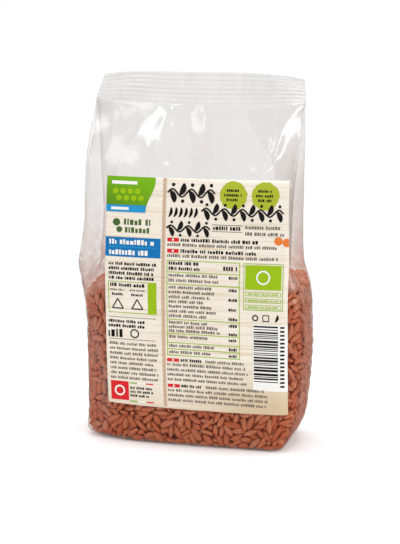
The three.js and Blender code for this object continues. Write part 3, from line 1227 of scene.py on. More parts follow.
@dataclass
class GrainPacker:
    """Packs grains into the shell of pasta that shows through the film.

    A grain is a chain of balls along its axis. Overlapping balls push each other apart, the film pushes
    them in and the heap's core pushes them out, and after each round the chains are straightened.
    """

    form: BagForm
    shell: float = 6.5
    skin: float = 0.25
    cell: float = 3.62
    rounds: int = 56
    seed: int = 5
    stations: tuple[float, ...] = (-0.8, -0.42, 0.0, 0.42, 0.8)
    station_radii: tuple[float, ...] = (0.5, 0.86, 1.0, 0.86, 0.5)
    length_range: tuple[float, float] = (7.4, 10.0)
    width_range: tuple[float, float] = (3.05, 3.8)
    low: tuple[float, float, float] = (-61.0, -30.0, 0.5)
    high: tuple[float, float, float] = (61.0, 30.0, 97.0)
    least_depth: float = 0.9
    lie_flat: float = 0.72
    probe: float = 0.4
    most_cells: int = 256
    search_every: int = 4
    search_margin: float = 0.5
    core_margin: float = 0.5
    core_push: float = 0.7
    ease: float = 1.5
    centres: Array = field(init=False)
    axes: Array = field(init=False)
    halves: Array = field(init=False)
    widths: Array = field(init=False)

    def scatter(self) -> None:
        """Drops grains on a jittered grid inside the shell, lying mostly along its surface."""
        rng = np.random.default_rng(self.seed)
        axes = [np.arange(a, b, self.cell) for a, b in zip(self.low, self.high)]
        grid = np.stack(np.meshgrid(*axes, indexing="ij"), -1).reshape(-1, 3)
        grid += rng.uniform(-0.5, 0.5, grid.shape) * self.cell
        depth = self.form.depth_inside(grid)
        kept = (depth > self.least_depth) & (depth < self.shell)
        self.centres = grid[kept]
        count = len(self.centres)
        self.halves = rng.uniform(*self.length_range, count) / 2.0
        self.widths = rng.uniform(*self.width_range, count) / 2.0
        direction = rng.normal(size=(count, 3))
        outward = self.outward(self.centres)
        along = np.sum(direction * outward, -1, keepdims=True)
        direction -= outward * along * self.lie_flat
        self.axes = direction / np.linalg.norm(direction, axis=-1, keepdims=True)

    def outward(self, points: Array) -> Array:
        """Unit direction from points towards the nearest face of the heap.

        Args:
            points: Points in or near the heap.

        Returns:
            The directions.
        """
        here = self.form.depth_inside(points)
        slope = np.stack([self.form.depth_inside(points + self.probe * axis) - here for axis in np.eye(3)], -1)
        return -slope / np.maximum(np.linalg.norm(slope, axis=-1, keepdims=True), 1e-6)

    def close_pairs(self, balls: Array, reach: float) -> tuple[Array, Array]:
        """Pairs of balls of different grains whose centres are closer than reach.

        Args:
            balls: Ball centres, grain by grain.
            reach: The distance.

        Returns:
            The two ball numbers of each pair.
        """
        size = self.most_cells
        cells = np.floor(balls / reach).astype(np.int64) + size // 4
        key = (cells[:, 0] * size + cells[:, 1]) * size + cells[:, 2]
        order = np.argsort(key, kind="stable")
        ordered = key[order]
        firsts, seconds = [], []
        steps = (-1, 0, 1)
        offsets = [(i, j, k) for i in steps for j in steps for k in steps if (i, j, k) >= (0, 0, 0)]
        for i, j, k in offsets:
            target = key + (i * size + j) * size + k
            start = np.searchsorted(ordered, target, side="left")
            count = np.searchsorted(ordered, target, side="right") - start
            for m in range(int(count.max())):
                first = np.nonzero(count > m)[0]
                second = order[start[first] + m]
                if (i, j, k) == (0, 0, 0):
                    first, second = first[second > first], second[second > first]
                firsts.append(first)
                seconds.append(second)
        first, second = np.concatenate(firsts), np.concatenate(seconds)
        balls_per_grain = len(self.stations)
        gap = np.linalg.norm(balls[first] - balls[second], axis=-1)
        near = (gap < reach) & (first // balls_per_grain != second // balls_per_grain)
        return first[near], second[near]

    def settle(self) -> None:
        """Pushes overlapping grains apart until they lie against each other and the film."""
        t = np.array(self.stations)
        radii = (self.widths[:, None] * np.array(self.station_radii)[None, :]).reshape(-1)
        reach = max(self.width_range) + self.search_margin
        first = second = None
        for step in range(self.rounds):
            chain = self.centres[:, None, :] + self.axes[:, None, :] * (t * self.halves[:, None])[..., None]
            balls = chain.reshape(-1, 3)
            if step % self.search_every == 0:
                first, second = self.close_pairs(balls, reach)
            gap = balls[second] - balls[first]
            distance = np.maximum(np.linalg.norm(gap, axis=-1), 1e-6)
            overlap = np.maximum(radii[first] + radii[second] - distance, 0.0)
            push = gap * (0.5 * overlap / distance)[:, None]
            touching, total = (overlap > 0.0).astype(float), len(balls)
            contacts = np.bincount(first, touching, total) + np.bincount(second, touching, total)
            moves = [np.bincount(second, axis, total) - np.bincount(first, axis, total) for axis in push.T]
            move = np.stack(moves, -1)
            balls = balls + move * (self.ease / np.maximum(contacts, self.ease))[:, None]
            depth = self.form.depth_inside(balls)
            outward = self.outward(balls)
            too_far = np.maximum(radii + self.skin - depth, 0.0)
            too_deep = np.maximum(depth - (self.shell - self.core_margin), 0.0)
            balls = balls + outward * (self.core_push * too_deep - too_far)[:, None]
            chain = balls.reshape(chain.shape)
            self.centres = chain.mean(1)
            axis = np.sum((chain - self.centres[:, None, :]) * t[None, :, None], 1)
            self.axes = axis / np.maximum(np.linalg.norm(axis, axis=-1, keepdims=True), 1e-9)


@dataclass
class PastaFill:
    """The pasta in the bag: loose grains in the shell that shows, over a dark core of packed pasta."""

    form: BagForm
    around: int = 8
    stations: int = 7
    flatness: float = 0.8
    seed: int = 8
    near_film: float = 3.4
    most_faces: int = 190_000
    inner_around: int = 6
    inner_stations: int = 5
    core_inset: float = 4.6
    core_levels: int = 24
    core_top: float = 2.2
    # How deep a grain lies before it takes the redder colour of painted bounce light.
    painted_bounce_depth: Ease = Ease(3.6, 6.4)

    def grain_shape(self, around: int, stations: int) -> tuple[Array, list]:
        """A unit grain along X: a slightly flattened spindle with drawn-out ends.

        Args:
            around: Sides.
            stations: Rings between the two tips.

        Returns:
            Its vertices and faces.
        """
        t = np.linspace(-1.0, 1.0, stations + 2)[1:-1]
        swell = np.cos(t * math.pi / 2.0) ** 0.62
        angle = np.linspace(0.0, 2.0 * math.pi, around, endpoint=False)
        ring = np.stack([np.cos(angle), np.sin(angle)], -1)
        body = np.concatenate(
            [np.column_stack([np.full(around, a), ring * b]) for a, b in zip(t, swell)]
        )
        points = np.vstack([body, [[-1.0, 0.0, 0.0], [1.0, 0.0, 0.0]]])
        faces = [face[::-1] for face in loft_faces(stations, around)]
        tail, head, last = len(body), len(body) + 1, (stations - 1) * around
        for i in range(around):
            after = (i + 1) % around
            faces.append([tail, i, after])
            faces.append([head, last + after, last + i])
        return points, [face[::-1] for face in faces]

    def grain_mesh(
        self, packed: GrainPacker, chosen: Array, around: int, stations: int
    ) -> tuple[Array, list, Array]:
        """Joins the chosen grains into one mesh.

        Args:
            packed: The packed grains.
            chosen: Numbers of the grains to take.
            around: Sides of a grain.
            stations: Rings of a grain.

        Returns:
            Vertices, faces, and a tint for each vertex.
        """
        rng = np.random.default_rng(self.seed + int(chosen[0]))
        unit, unit_faces = self.grain_shape(around, stations)
        count = len(chosen)
        axis = packed.axes[chosen]
        side = np.cross(axis, rng.normal(size=axis.shape))
        side /= np.linalg.norm(side, axis=-1, keepdims=True)
        other = np.cross(axis, side)
        half, width = packed.halves[chosen][:, None], packed.widths[chosen][:, None]
        flat = rng.uniform(self.flatness - 0.12, self.flatness + 0.12, (count, 1))
        bow = rng.uniform(-0.07, 0.12, (count, 1)) * half
        skew = rng.uniform(-0.22, 0.22, (count, 1))
        along = unit[None, :, 0] * half
        shift = skew * (1.0 - unit[None, :, 0] ** 2) * half * 0.2
        across = unit[None, :, 1] * width * (1.0 + 0.12 * skew * unit[None, :, 0]) + bow * unit[None, :, 0] ** 2
        thick = unit[None, :, 2] * width * flat
        points = packed.centres[chosen][:, None, :] + axis[:, None, :] * (along + shift)[..., None]
        points = points + side[:, None, :] * across[..., None] + other[:, None, :] * thick[..., None]
        base = np.arange(count) * len(unit)
        quads = np.array([face for face in unit_faces if len(face) == 4])
        triangles = np.array([face for face in unit_faces if len(face) == 3])
        faces = (quads[None] + base[:, None, None]).reshape(-1, 4).tolist()
        faces += (triangles[None] + base[:, None, None]).reshape(-1, 3).tolist()
        tint = np.clip(rng.normal(0.5, 0.24, count), 0.0, 1.0)
        return points.reshape(-1, 3), faces, np.repeat(tint, len(unit))

    def build_grains(self, material: Material) -> None:
        """Packs the grains and joins them into pieces by where they lie.

        Args:
            material: The pasta's finish.
        """
        packed = GrainPacker(self.form)
        packed.scatter()
        packed.settle()
        LOG.info("packed %d grains", len(packed.centres))
        depth = self.form.depth_inside(packed.centres)
        near = depth < self.near_film
        front = packed.centres[:, 1] < 0.0
        groups = {
            "grains_front": (near & front, self.around, self.stations),
            "grains_back": (near & ~front, self.around, self.stations),
            "grains_inner": (~near, self.inner_around, self.inner_stations),
        }
        for name, (mask, around, stations) in groups.items():
            chosen = np.nonzero(mask)[0]
            faces_each = around * (stations + 1) * 2
            parts = math.ceil(len(chosen) * faces_each / self.most_faces)
            for part, share in enumerate(np.array_split(chosen, parts)):
                points, faces, tint = self.grain_mesh(packed, share, around, stations)
                label = name if parts == 1 else f"{name}_{part + 1}"
                # Grains deep in the heap take the redder colour: painted bounce light.
                painted_bounce = np.repeat(self.painted_bounce_depth(depth[share]), len(tint) // len(share))
                attributes = {"tint": tint, "deep": painted_bounce}
                piece = make_piece(label, self.form.bend(points), faces, material, attributes)
                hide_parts(BAG_NODE)

    def build_core(self, material: Material) -> None:
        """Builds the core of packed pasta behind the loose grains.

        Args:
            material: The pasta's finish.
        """
        film = FilmBag(self.form, panel_steps=40, corner_steps=3, side_steps=7)
        share, inset = np.linspace(0.0, 1.0, self.core_levels), self.core_inset
        levels = inset + share * (self.form.fill_height - self.core_top * inset)
        points, _ = film.wall(levels)
        points = points - grid_normals(points) * inset
        level = self.form.fill_level(points[..., 0], points[..., 1])
        points[..., 2] = inset + share[:, None] * (level - self.core_top * inset)
        rows, columns = points.shape[:2]
        faces = loft_faces(rows, columns) + end_faces(rows, columns, film.end_shift)
        # The core is tinted all over with the redder colour: painted bounce light.
        attributes = {"tint": np.zeros(rows * columns), "deep": np.ones(rows * columns)}
        core = make_piece(
            "pasta_core", self.form.bend(points).reshape(-1, 3), faces, material, attributes
        )
        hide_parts(BAG_NODE)

    def build(self, material: Material) -> None:
        """Builds the core and the grains."""
        self.build_core(material)
        self.build_grains(material)


# ---- The label -------------------------------------------------------------------------------------


@dataclass
class Label:
    """The paper label on the front, a little proud of the film."""

    form: BagForm
    left: float = -42.3
    right: float = 48.7
    bottom: float = 20.5
    top: float = 134.2
    lean: float = 1.0
    drop: float = 0.9
    gap: float = 0.4
    thickness: float = 0.24
    spacing: float = 1.5
    waviness: float = 0.14
    wave_count: int = 9
    wavy_below: Ease = Ease(96.0, 80.0)
    seed: int = 21

    def waves(self, x: Array, z: Array) -> Array:
        """How far the paper is pushed out by the grains behind it.

        Args:
            x: Places across the pack.
            z: Heights.

        Returns:
            Distances out from the flat paper.
        """
        rng = np.random.default_rng(self.seed)
        total = np.zeros(np.broadcast(x, z).shape)
        for _ in range(self.wave_count):
            a, b = rng.uniform(-0.5, 0.5, 2)
            total += np.sin(a * x + b * z + rng.uniform(0, 6.28))
        return self.waviness * (0.5 + total / self.wave_count) * self.wavy_below(z)

    def place(self, u: Array, v: Array, lift: float) -> Array:
        """Points on the label's face.

        Args:
            u: Distance from the label's left edge.
            v: Distance from its top edge.
            lift: Distance out from its face.

        Returns:
            The points on the pack.
        """
        u, v = np.broadcast_arrays(np.asarray(u, float), np.asarray(v, float))
        x = self.left + u + self.lean * v / self.height
        z = self.top - v - self.drop * (u / self.width) * (v / self.height)
        return self.form.on_front(x, z, self.gap + self.thickness + self.waves(x, z) + lift)

    @property
    def width(self) -> float:
        """The label's width."""
        return self.right - self.left

    @property
    def height(self) -> float:
        """The label's height."""
        return self.top - self.bottom

    def build(self, material: Material) -> bpy.types.Object:
        """Builds the sheet, which stands for the CAD label.

        Args:
            material: The paper's finish.

        Returns:
            The sheet.
        """
        across = int(self.width / self.spacing)
        upward = int(self.height / self.spacing)
        u = self.width * np.sin(np.linspace(0.0, 0.5 * math.pi, across + 1))
        v = np.linspace(self.height, 0.0, upward + 1)
        grid_u, grid_v = np.meshgrid(u, v)
        outer = self.place(grid_u, grid_v, 0.0)
        inner = self.place(grid_u, grid_v, -self.thickness)
        points = np.concatenate([outer, inner[:, ::-1]], axis=1)
        rows, columns = points.shape[:2]
        faces = loft_faces(rows, columns) + end_faces(rows, columns, 1)
        sheet = make_piece("label_sheet", points.reshape(-1, 3), faces, material)
        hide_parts(LABEL_NODE)
        return sheet


# ---- The print on the label ------------------------------------------------------------------------


class Ink(Enum):
    """The inks on the label."""

    BLACK = InkFinish("black", linear(28, 25, 24))
    GREY = InkFinish("grey", linear(124, 114, 102))
    MID_GREEN = InkFinish("mid_green", linear(120, 182, 14))
    LIME = InkFinish("lime", linear(156, 194, 2))
    LEAF = InkFinish("leaf", linear(74, 108, 46))
    BLUE = InkFinish("blue", linear(0, 117, 184))
    SKY = InkFinish("sky", linear(36, 151, 208))
    RED = InkFinish("red", linear(222, 26, 34))
    WHITE = InkFinish("white", linear(247, 245, 240))
    BROWN = InkFinish("brown", linear(206, 178, 150))
    ORANGE = InkFinish("orange", linear(236, 128, 52))
    MOSS = InkFinish("moss", linear(176, 188, 46))


@dataclass
class Artwork:
    """Plain fields, bars and marks printed on the label, placed from its top left corner in mm."""

    label: Label
    step: float = 1.6
    first_lift: float = 0.06
    next_lift: float = 0.04
    seed: int = 17
    bow: tuple[float, float] = (1.15, 0.6)
    sag: tuple[float, float] = (1.6, 0.9)
    stripe: tuple[float, float] = (28.1, 29.9)
    stripe_tooth: float = 0.28
    stripe_rows: int = 90
    grids: dict[Ink, list] = field(default_factory=dict)
    rng: np.random.Generator = field(init=False)

    def __post_init__(self) -> None:
        """Starts the seeded draws that vary the marks."""
        self.rng = np.random.default_rng(self.seed)

    def lay(self, ink: Ink, layer: int, u: Array, v: Array, shade: Array | float = 0.0) -> None:
        """Adds a patch of ink given as a grid of places.

        Args:
            ink: Its ink.
            layer: 0 for ink on the paper, 1 for ink on that, and so on.
            u: Distances from the label's left edge.
            v: Distances from its top edge.
            shade: How far the ink is darkened, from 0 to 1.
        """
        u, v = np.broadcast_arrays(u, v)
        across = np.sin(math.pi * np.clip(u / self.label.width, 0.0, 1.0))
        down = np.clip(v / self.label.height, 0.0, 1.0)
        u = u + (self.bow[0] + self.bow[1] * down) * across
        v = v - self.sag[0] * np.sin(math.pi * down) - self.sag[1] * down * across
        lift = self.first_lift + layer * self.next_lift
        points = self.label.place(np.clip(u, 0.0, self.label.width), v, lift)
        self.grids.setdefault(ink, []).append((points, np.broadcast_to(shade, u.shape)))

    def bar(self, ink: Ink, layer: int, box: tuple[float, float, float, float]) -> None:
        """Prints a bar.

        Args:
            ink: Its ink.
            layer: Its layer.
            box: Left, top, right and bottom.
        """
        left, top, right, bottom = box
        across = np.linspace(left, right, max(2, math.ceil((right - left) / self.step) + 1))
        down = np.linspace(bottom, top, max(2, math.ceil((bottom - top) / self.step) + 1))
        self.lay(ink, layer, across[None, :], down[:, None])

    def ring(
        self, ink: Ink, layer: int, centre: tuple[float, float], inner: float, outer: float, ragged: float = 0.0
    ) -> None:
        """Prints a ring, or a disc if its inner radius is 0.

        Args:
            ink: Its ink.
            layer: Its layer.
            centre: Its centre.
            inner: Inner radius.
            outer: Outer radius.
            ragged: How far the edge wanders.
        """
        around = max(14, int(outer * 6))
        angle = np.linspace(0.0, 2.0 * math.pi, around + 1)[None, :]
        edge = outer + ragged * self.rng.uniform(-1.0, 1.0, (1, around + 1))
        edge[0, -1] = edge[0, 0]
        share = np.linspace(0.0, 1.0, max(2, math.ceil((outer - inner) / self.step) + 1))[:, None]
        radius = np.maximum(inner, 0.02) * (1.0 - share) + edge * share
        self.lay(ink, layer, centre[0] + radius * np.cos(angle), centre[1] + radius * np.sin(angle))

    def frame(self, ink: Ink, layer: int, box: tuple[float, float, float, float], line: float) -> None:
        """Prints the outline of a box.

        Args:
            ink: Its ink.
            layer: Its layer.
            box: Left, top, right and bottom.
            line: The outline's width.
        """
        left, top, right, bottom = box
        for edge in (top, bottom - line):
            self.bar(ink, layer, (left, edge, right, edge + line))
        for edge in (left, right - line):
            self.bar(ink, layer, (edge, top + line, edge + line, bottom - line))

    def stroke(self, ink: Ink, layer: int, u: Array, v: Array, width: Array | float) -> None:
        """Prints a line of varying width through places in order.

        Args:
            ink: Its ink.
            layer: Its layer.
            u: Distances from the label's left edge.
            v: Distances from its top edge.
            width: The line's width at each place.
        """
        run_u, run_v = np.gradient(u), np.gradient(v)
        length = np.maximum(np.hypot(run_u, run_v), 1e-6)
        side_u, side_v = run_v / length * width / 2.0, -run_u / length * width / 2.0
        self.lay(ink, layer, np.stack([u + side_u, u - side_u]), np.stack([v + side_v, v - side_v]))

    def dab(self, ink: Ink, layer: int, start: tuple[float, float], end: tuple[float, float], width: float) -> None:
        """Prints a brush dab with pointed ends and a slight curve.

        Args:
            ink: Its ink.
            layer: Its layer.
            start: Where it begins.
            end: Where it ends.
            width: Its width in the middle.
        """
        t = np.linspace(0.0, 1.0, 9)
        bow = np.sin(math.pi * t) * 0.12 * math.dist(start, end)
        swell = width * np.sin(math.pi * np.clip(t, 0.03, 0.97)) ** 0.6
        self.stroke(ink, layer, start[0] + (end[0] - start[0]) * t + bow, start[1] + (end[1] - start[1]) * t, swell)

    def row(self, ink: Ink, layer: int, left: float, right: float, top: float, tall: float, wide: float = 0.62) -> None:
        """Prints a row of small upright marks in groups, like the grey of small print seen from afar.

        Args:
            ink: Its ink.
            layer: Its layer.
            left: Where the row begins.
            right: Where it ends.
            top: Its top.
            tall: Height of the marks.
            wide: Mean width of a mark, as a share of its height.
        """
        at = left
        while at < right - 0.3:
            for _ in range(int(self.rng.integers(3, 9))):
                reach = tall * wide * self.rng.uniform(0.45, 1.25)
                if at + reach > right:
                    at = right
                    break
                low = tall * self.rng.choice((0.0, 0.0, 0.12, 0.25))
                self.bar(ink, layer, (at, top + low, at + reach, top + tall))
                at += reach + tall * 0.2
            at += tall * 0.5

    def rows(self, ink: Ink, left: float, right: float, first: float, last: float, count: int, tall: float) -> None:
        """Prints rows of small marks with ragged right ends."""
        for top in np.linspace(first, last - tall, count):
            self.row(ink, 0, left, right - abs(self.rng.normal(0.0, 1.3)), float(top), tall)

    def vine(self, left: float, right: float, top: float, bottom: float) -> None:
        """Prints a waving vine with a plump leaf in each bend and a berry outside it.

        Args:
            left: Where it begins.
            right: Where it ends.
            top: Its top.
            bottom: Its bottom.
        """
        tall = bottom - top
        middle = (top + bottom) / 2.0
        bends = max(3, round((right - left) / (0.52 * tall)))
        pitch = (right - left) / bends
        swing = 0.2 * tall
        u = np.linspace(left, right, int((right - left) * 3))
        self.stroke(Ink.BLACK, 2, u, middle - swing * np.sin((u - left) * math.pi / pitch), 0.8)
        for k in range(bends):
            side = -1.0 if k % 2 == 0 else 1.0
            at = left + (k + 0.5) * pitch
            root = (at - 0.22 * pitch, middle + side * 0.6 * swing)
            tip = (at + 0.2 * pitch, middle - side * 0.5 * tall)
            self.dab(Ink.BLACK, 2, root, tip, 0.3 * tall)
            self.ring(Ink.BLACK, 2, (at + 0.1 * pitch, middle + side * 0.42 * tall), 0.0, 0.09 * tall)

    def emblem(self) -> None:
        """Prints the green corner field with a band and rows of dots, and the marks below it."""
        height, width, cut = 17.0, 24.4, 4.6
        down = np.linspace(height, 0.0, 12)[:, None]
        across = np.linspace(0.0, 1.0, 16)[None, :]
        shade = np.clip(0.75 * down / height + 0.35 * (1.0 - across) - 0.2, 0.0, 1.0)
        reach = across * (width - cut * smooth(2.0, height, down))
        self.lay(Ink.MID_GREEN, 0, reach, down + 0.0 * across, shade)
        self.bar(Ink.WHITE, 1, (2.6, 2.2, 15.4, 3.8))
        for row in range(2):
            for k in range(4):
                self.ring(Ink.LIME, 1, (4.6 + 3.7 * k + 1.8 * row, 7.2 + 3.4 * row), 0.0, 1.45)
        self.bar(Ink.SKY, 2, (0.0, 14.2, 19.8, 17.8))
        self.bar(Ink.WHITE, 3, (2.6, 15.3, 11.4, 16.7))
        self.ring(Ink.LEAF, 0, (5.4, 23.0), 0.0, 1.9)
        self.ring(Ink.LEAF, 0, (6.9, 26.6), 0.0, 1.5)
        self.row(Ink.LEAF, 0, 9.2, 22.6, 21.2, 3.0, 0.5)
        self.row(Ink.LEAF, 0, 9.8, 23.0, 25.4, 2.7, 0.5)

    def left_column(self) -> None:
        """Prints the narrow column at the left."""
        self.emblem()
        self.bar(Ink.BLUE, 0, (0.0, 30.5, 27.7, 40.3))
        self.row(Ink.WHITE, 1, 2.0, 24.6, 31.6, 2.5, 0.55)
        self.row(Ink.SKY, 1, 2.0, 25.6, 34.9, 0.8)
        self.row(Ink.WHITE, 1, 2.0, 21.4, 36.8, 2.5, 0.55)
        self.rows(Ink.BLACK, 1.8, 26.6, 43.0, 51.6, 4, 1.5)
        self.frame(Ink.LIME, 0, (1.6, 52.6, 25.8, 68.4), 0.35)
        self.bar(Ink.LIME, 0, (21.5, 52.95, 25.45, 68.05))
        self.row(Ink.BLACK, 0, 2.6, 20.5, 53.5, 1.7)
        for left, right in ((3.4, 9.3), (13.2, 19.1)):
            self.row(Ink.GREY, 0, left - 0.9, right + 0.9, 56.4, 0.9)
            self.row(Ink.BLACK, 0, left, right + 0.4, 58.4, 1.3)
            turn = np.radians(np.array([-90.0, 30.0, 150.0, 270.0]))
            centre = ((left + right) / 2.0, 64.5)
            for a, b in zip(turn[:-1], turn[1:]):
                t = np.linspace(0.0, 1.0, 5)
                u = centre[0] + 3.2 * (math.cos(a) * (1 - t) + math.cos(b) * t)
                v = centre[1] + 3.2 * (math.sin(a) * (1 - t) + math.sin(b) * t)
                self.stroke(Ink.BLACK, 0, u, v, 0.6)
        self.bar(Ink.GREY, 0, (1.6, 70.4, 25.4, 70.7))
        self.row(Ink.BLACK, 0, 1.4, 19.7, 71.8, 1.5)
        self.row(Ink.BLACK, 0, 1.4, 19.9, 74.1, 1.5)
        self.row(Ink.BLACK, 0, 1.2, 11.6, 76.6, 4.0, 0.36)
        self.ring(Ink.BLACK, 0, (14.6, 78.4), 1.65, 2.3)
        self.bar(Ink.GREY, 0, (1.6, 81.3, 25.0, 81.6))
        self.rows(Ink.GREY, 1.8, 27.0, 83.0, 101.4, 8, 1.3)
        self.bar(Ink.RED, 0, (1.7, 102.5, 10.8, 112.0))
        self.ring(Ink.WHITE, 1, (6.25, 107.2), 1.9, 2.7)
        for top in (102.8, 112.0):
            for k, ink in enumerate((Ink.MID_GREEN, Ink.WHITE, Ink.RED)):
                self.bar(ink, 0, (11.4 + 4.1 * k, top, 15.1 + 4.1 * k, top + 0.6))
        self.rows(Ink.BLACK, 11.6, 24.0, 104.9, 110.0, 3, 1.2)

    def heading(self) -> None:
        """Prints the heading at the top of the wide column."""
        self.vine(30.6, 54.1, 2.3, 12.0)
        self.vine(47.6, 88.4, 11.9, 20.3)
        for k in range(6):
            self.dab(Ink.BLACK, 0, (31.4 + 2.5 * k, 19.4), (32.5 + 2.5 * k, 14.4), 1.5)
        self.vine(30.4, 52.0, 21.2, 28.9)
        for centre in ((63.4, 7.7), (79.2, 7.7)):
            self.ring(Ink.MOSS, 0, centre, 0.0, 6.9, 0.35)
            for k in range(3):
                reach = 4.6 - 1.1 * abs(k - 1)
                self.row(Ink.BLACK, 1, centre[0] - reach, centre[0] + reach, centre[1] - 3.2 + 2.3 * k, 1.35)
        self.bar(Ink.GREY, 0, (53.0, 22.3, 68.2, 22.6))
        self.row(Ink.BLACK, 0, 53.6, 67.4, 23.1, 1.9)
        self.bar(Ink.GREY, 0, (53.0, 25.6, 68.2, 25.9))
        self.rows(Ink.GREY, 69.6, 90.2, 22.4, 27.2, 2, 1.6)
        for top in (29.7, 35.2):
            self.bar(Ink.RED, 0, (31.0, top, 36.7, top + 1.9))
            self.ring(Ink.WHITE, 1, (33.8, top + 0.95), 0.0, 0.55)
            self.row(Ink.BLACK, 0, 37.6, 76.5, top, 1.7)
            self.rows(Ink.GREY, 31.0, 87.4, top + 2.6, top + 4.2, 1, 1.5)
        for centre in ((86.2, 29.6), (90.3, 30.3)):
            self.ring(Ink.ORANGE, 0, centre, 0.0, 2.1)

    def table(self) -> None:
        """Prints the ruled table."""
        left, right, top, bottom = 30.8, 67.4, 40.7, 88.0
        self.frame(Ink.LIME, 0, (left, top, right, bottom), 0.4)
        lines = (46.7, 52.7, 70.1, 77.1, 81.6, 84.7)
        counts = (2, 2, 7, 3, 1, 1, 1)
        edges = (top, *lines, bottom)
        for line in lines:
            self.bar(Ink.LIME, 0, (left, line - 0.2, right, line + 0.2))
        for k, count in enumerate(counts):
            tall = 1.6 if k == 0 else 1.4
            ink = Ink.BLACK if k == 0 else Ink.GREY
            gap = (edges[k + 1] - edges[k] - 0.9) / count
            for j in range(count):
                at = edges[k] + 0.75 + gap * j
                reach = 17.0 if k == 0 else self.rng.uniform(17.0, 27.0)
                self.row(ink, 0, left + 1.0, left + reach, at, tall)
                if j % 2 == 0 and k > 0:
                    self.row(Ink.BLACK, 0, right - 5.6, right - 1.0, at + 0.3, tall)
        self.row(Ink.BLACK, 0, right - 8.4, right - 1.0, top + 2.2, 2.0)

    def right_column(self) -> None:
        """Prints the green panel, the small marks and the striped panel at the right."""
        self.frame(Ink.LIME, 0, (69.2, 40.8, 88.9, 63.6), 0.35)
        self.bar(Ink.LIME, 0, (70.1, 41.7, 88.0, 53.5))
        self.ring(Ink.WHITE, 1, (79.0, 47.6), 2.7, 3.5)
        for top in (54.6, 57.7, 60.8):
            self.frame(Ink.LIME, 0, (70.1, top, 88.0, top + 2.1), 0.3)
            self.row(Ink.LIME, 0, 71.4, 86.8, top + 0.6, 0.9)
        self.ring(Ink.BLACK, 0, (75.2, 67.2), 0.95, 1.6)
        self.frame(Ink.BLACK, 0, (78.8, 65.6, 82.2, 68.8), 0.45)
        self.dab(Ink.BLACK, 0, (86.4, 65.4), (85.2, 68.9), 1.4)
        self.bar(Ink.WHITE, 0, (74.0, 70.2, 91.7, 102.4))
        at = 70.9
        while at < 98.4:
            thick = float(self.rng.choice((0.4, 0.4, 0.8, 1.1)))
            self.bar(Ink.BLACK, 1, (74.4, at, 86.6, at + thick))
            at += thick + float(self.rng.choice((0.4, 0.45, 0.8)))
        at = 71.0
        while at < 100.5:
            self.bar(Ink.BLACK, 1, (87.6, at, 89.6, at + 0.9))
            at += 1.9

    def small_print(self) -> None:
        """Prints the two paragraphs at the foot."""
        for top, count, right in ((89.3, 5, 72.0), (102.1, 4, 82.0)):
            self.bar(Ink.RED, 0, (30.6, top, 36.6, top + 1.6))
            self.ring(Ink.WHITE, 1, (33.6, top + 0.8), 0.0, 0.5)
            self.row(Ink.BLACK, 0, 37.4, 48.6, top, 1.4)
            self.row(Ink.GREY, 0, 49.8, right - 2.0, top, 1.3)
            for k in range(1, count):
                self.rows(Ink.GREY, 30.6, right, top + 2.45 * k, top + 2.45 * k + 1.5, 1, 1.3)

    def build(self, mottle: Tree) -> None:
        """Prints everything, one piece for each ink.

        Args:
            mottle: The shared mottle group.
        """
        down = np.linspace(self.label.height, 0.0, self.stripe_rows)[:, None]
        edge = self.stripe[0] + self.stripe_tooth * (np.arange(self.stripe_rows) % 2)[:, None]
        share = np.linspace(0.0, 1.0, 2)[None, :]
        self.lay(Ink.BROWN, 0, edge * (1.0 - share) + self.stripe[1] * share, down + 0.0 * share)
        self.left_column()
        self.heading()
        self.table()
        self.right_column()
        self.small_print()
        for ink, grids in self.grids.items():
            points = np.concatenate([grid.reshape(-1, 3) for grid, _ in grids])
            shade = np.concatenate([tone.reshape(-1) for _, tone in grids])
            faces, start = [], 0
            for grid, _ in grids:
                faces += (np.array(loft_faces(*grid.shape[:2], closed=False)) + start).tolist()
                start += grid.shape[0] * grid.shape[1]
            finish = ink.value.build(mottle)
            make_piece("print_" + ink.value.name, points, faces, finish, {"shade": shade})


# ---- The studio ------------------------------------------------------------------------------------


@dataclass(frozen=True)
class Softbox:
    """A rectangular studio light, placed round the pack in metres."""

    name: str
    azimuth: float
    elevation: float
    distance: float
    size: tuple[float, float]
    power: float


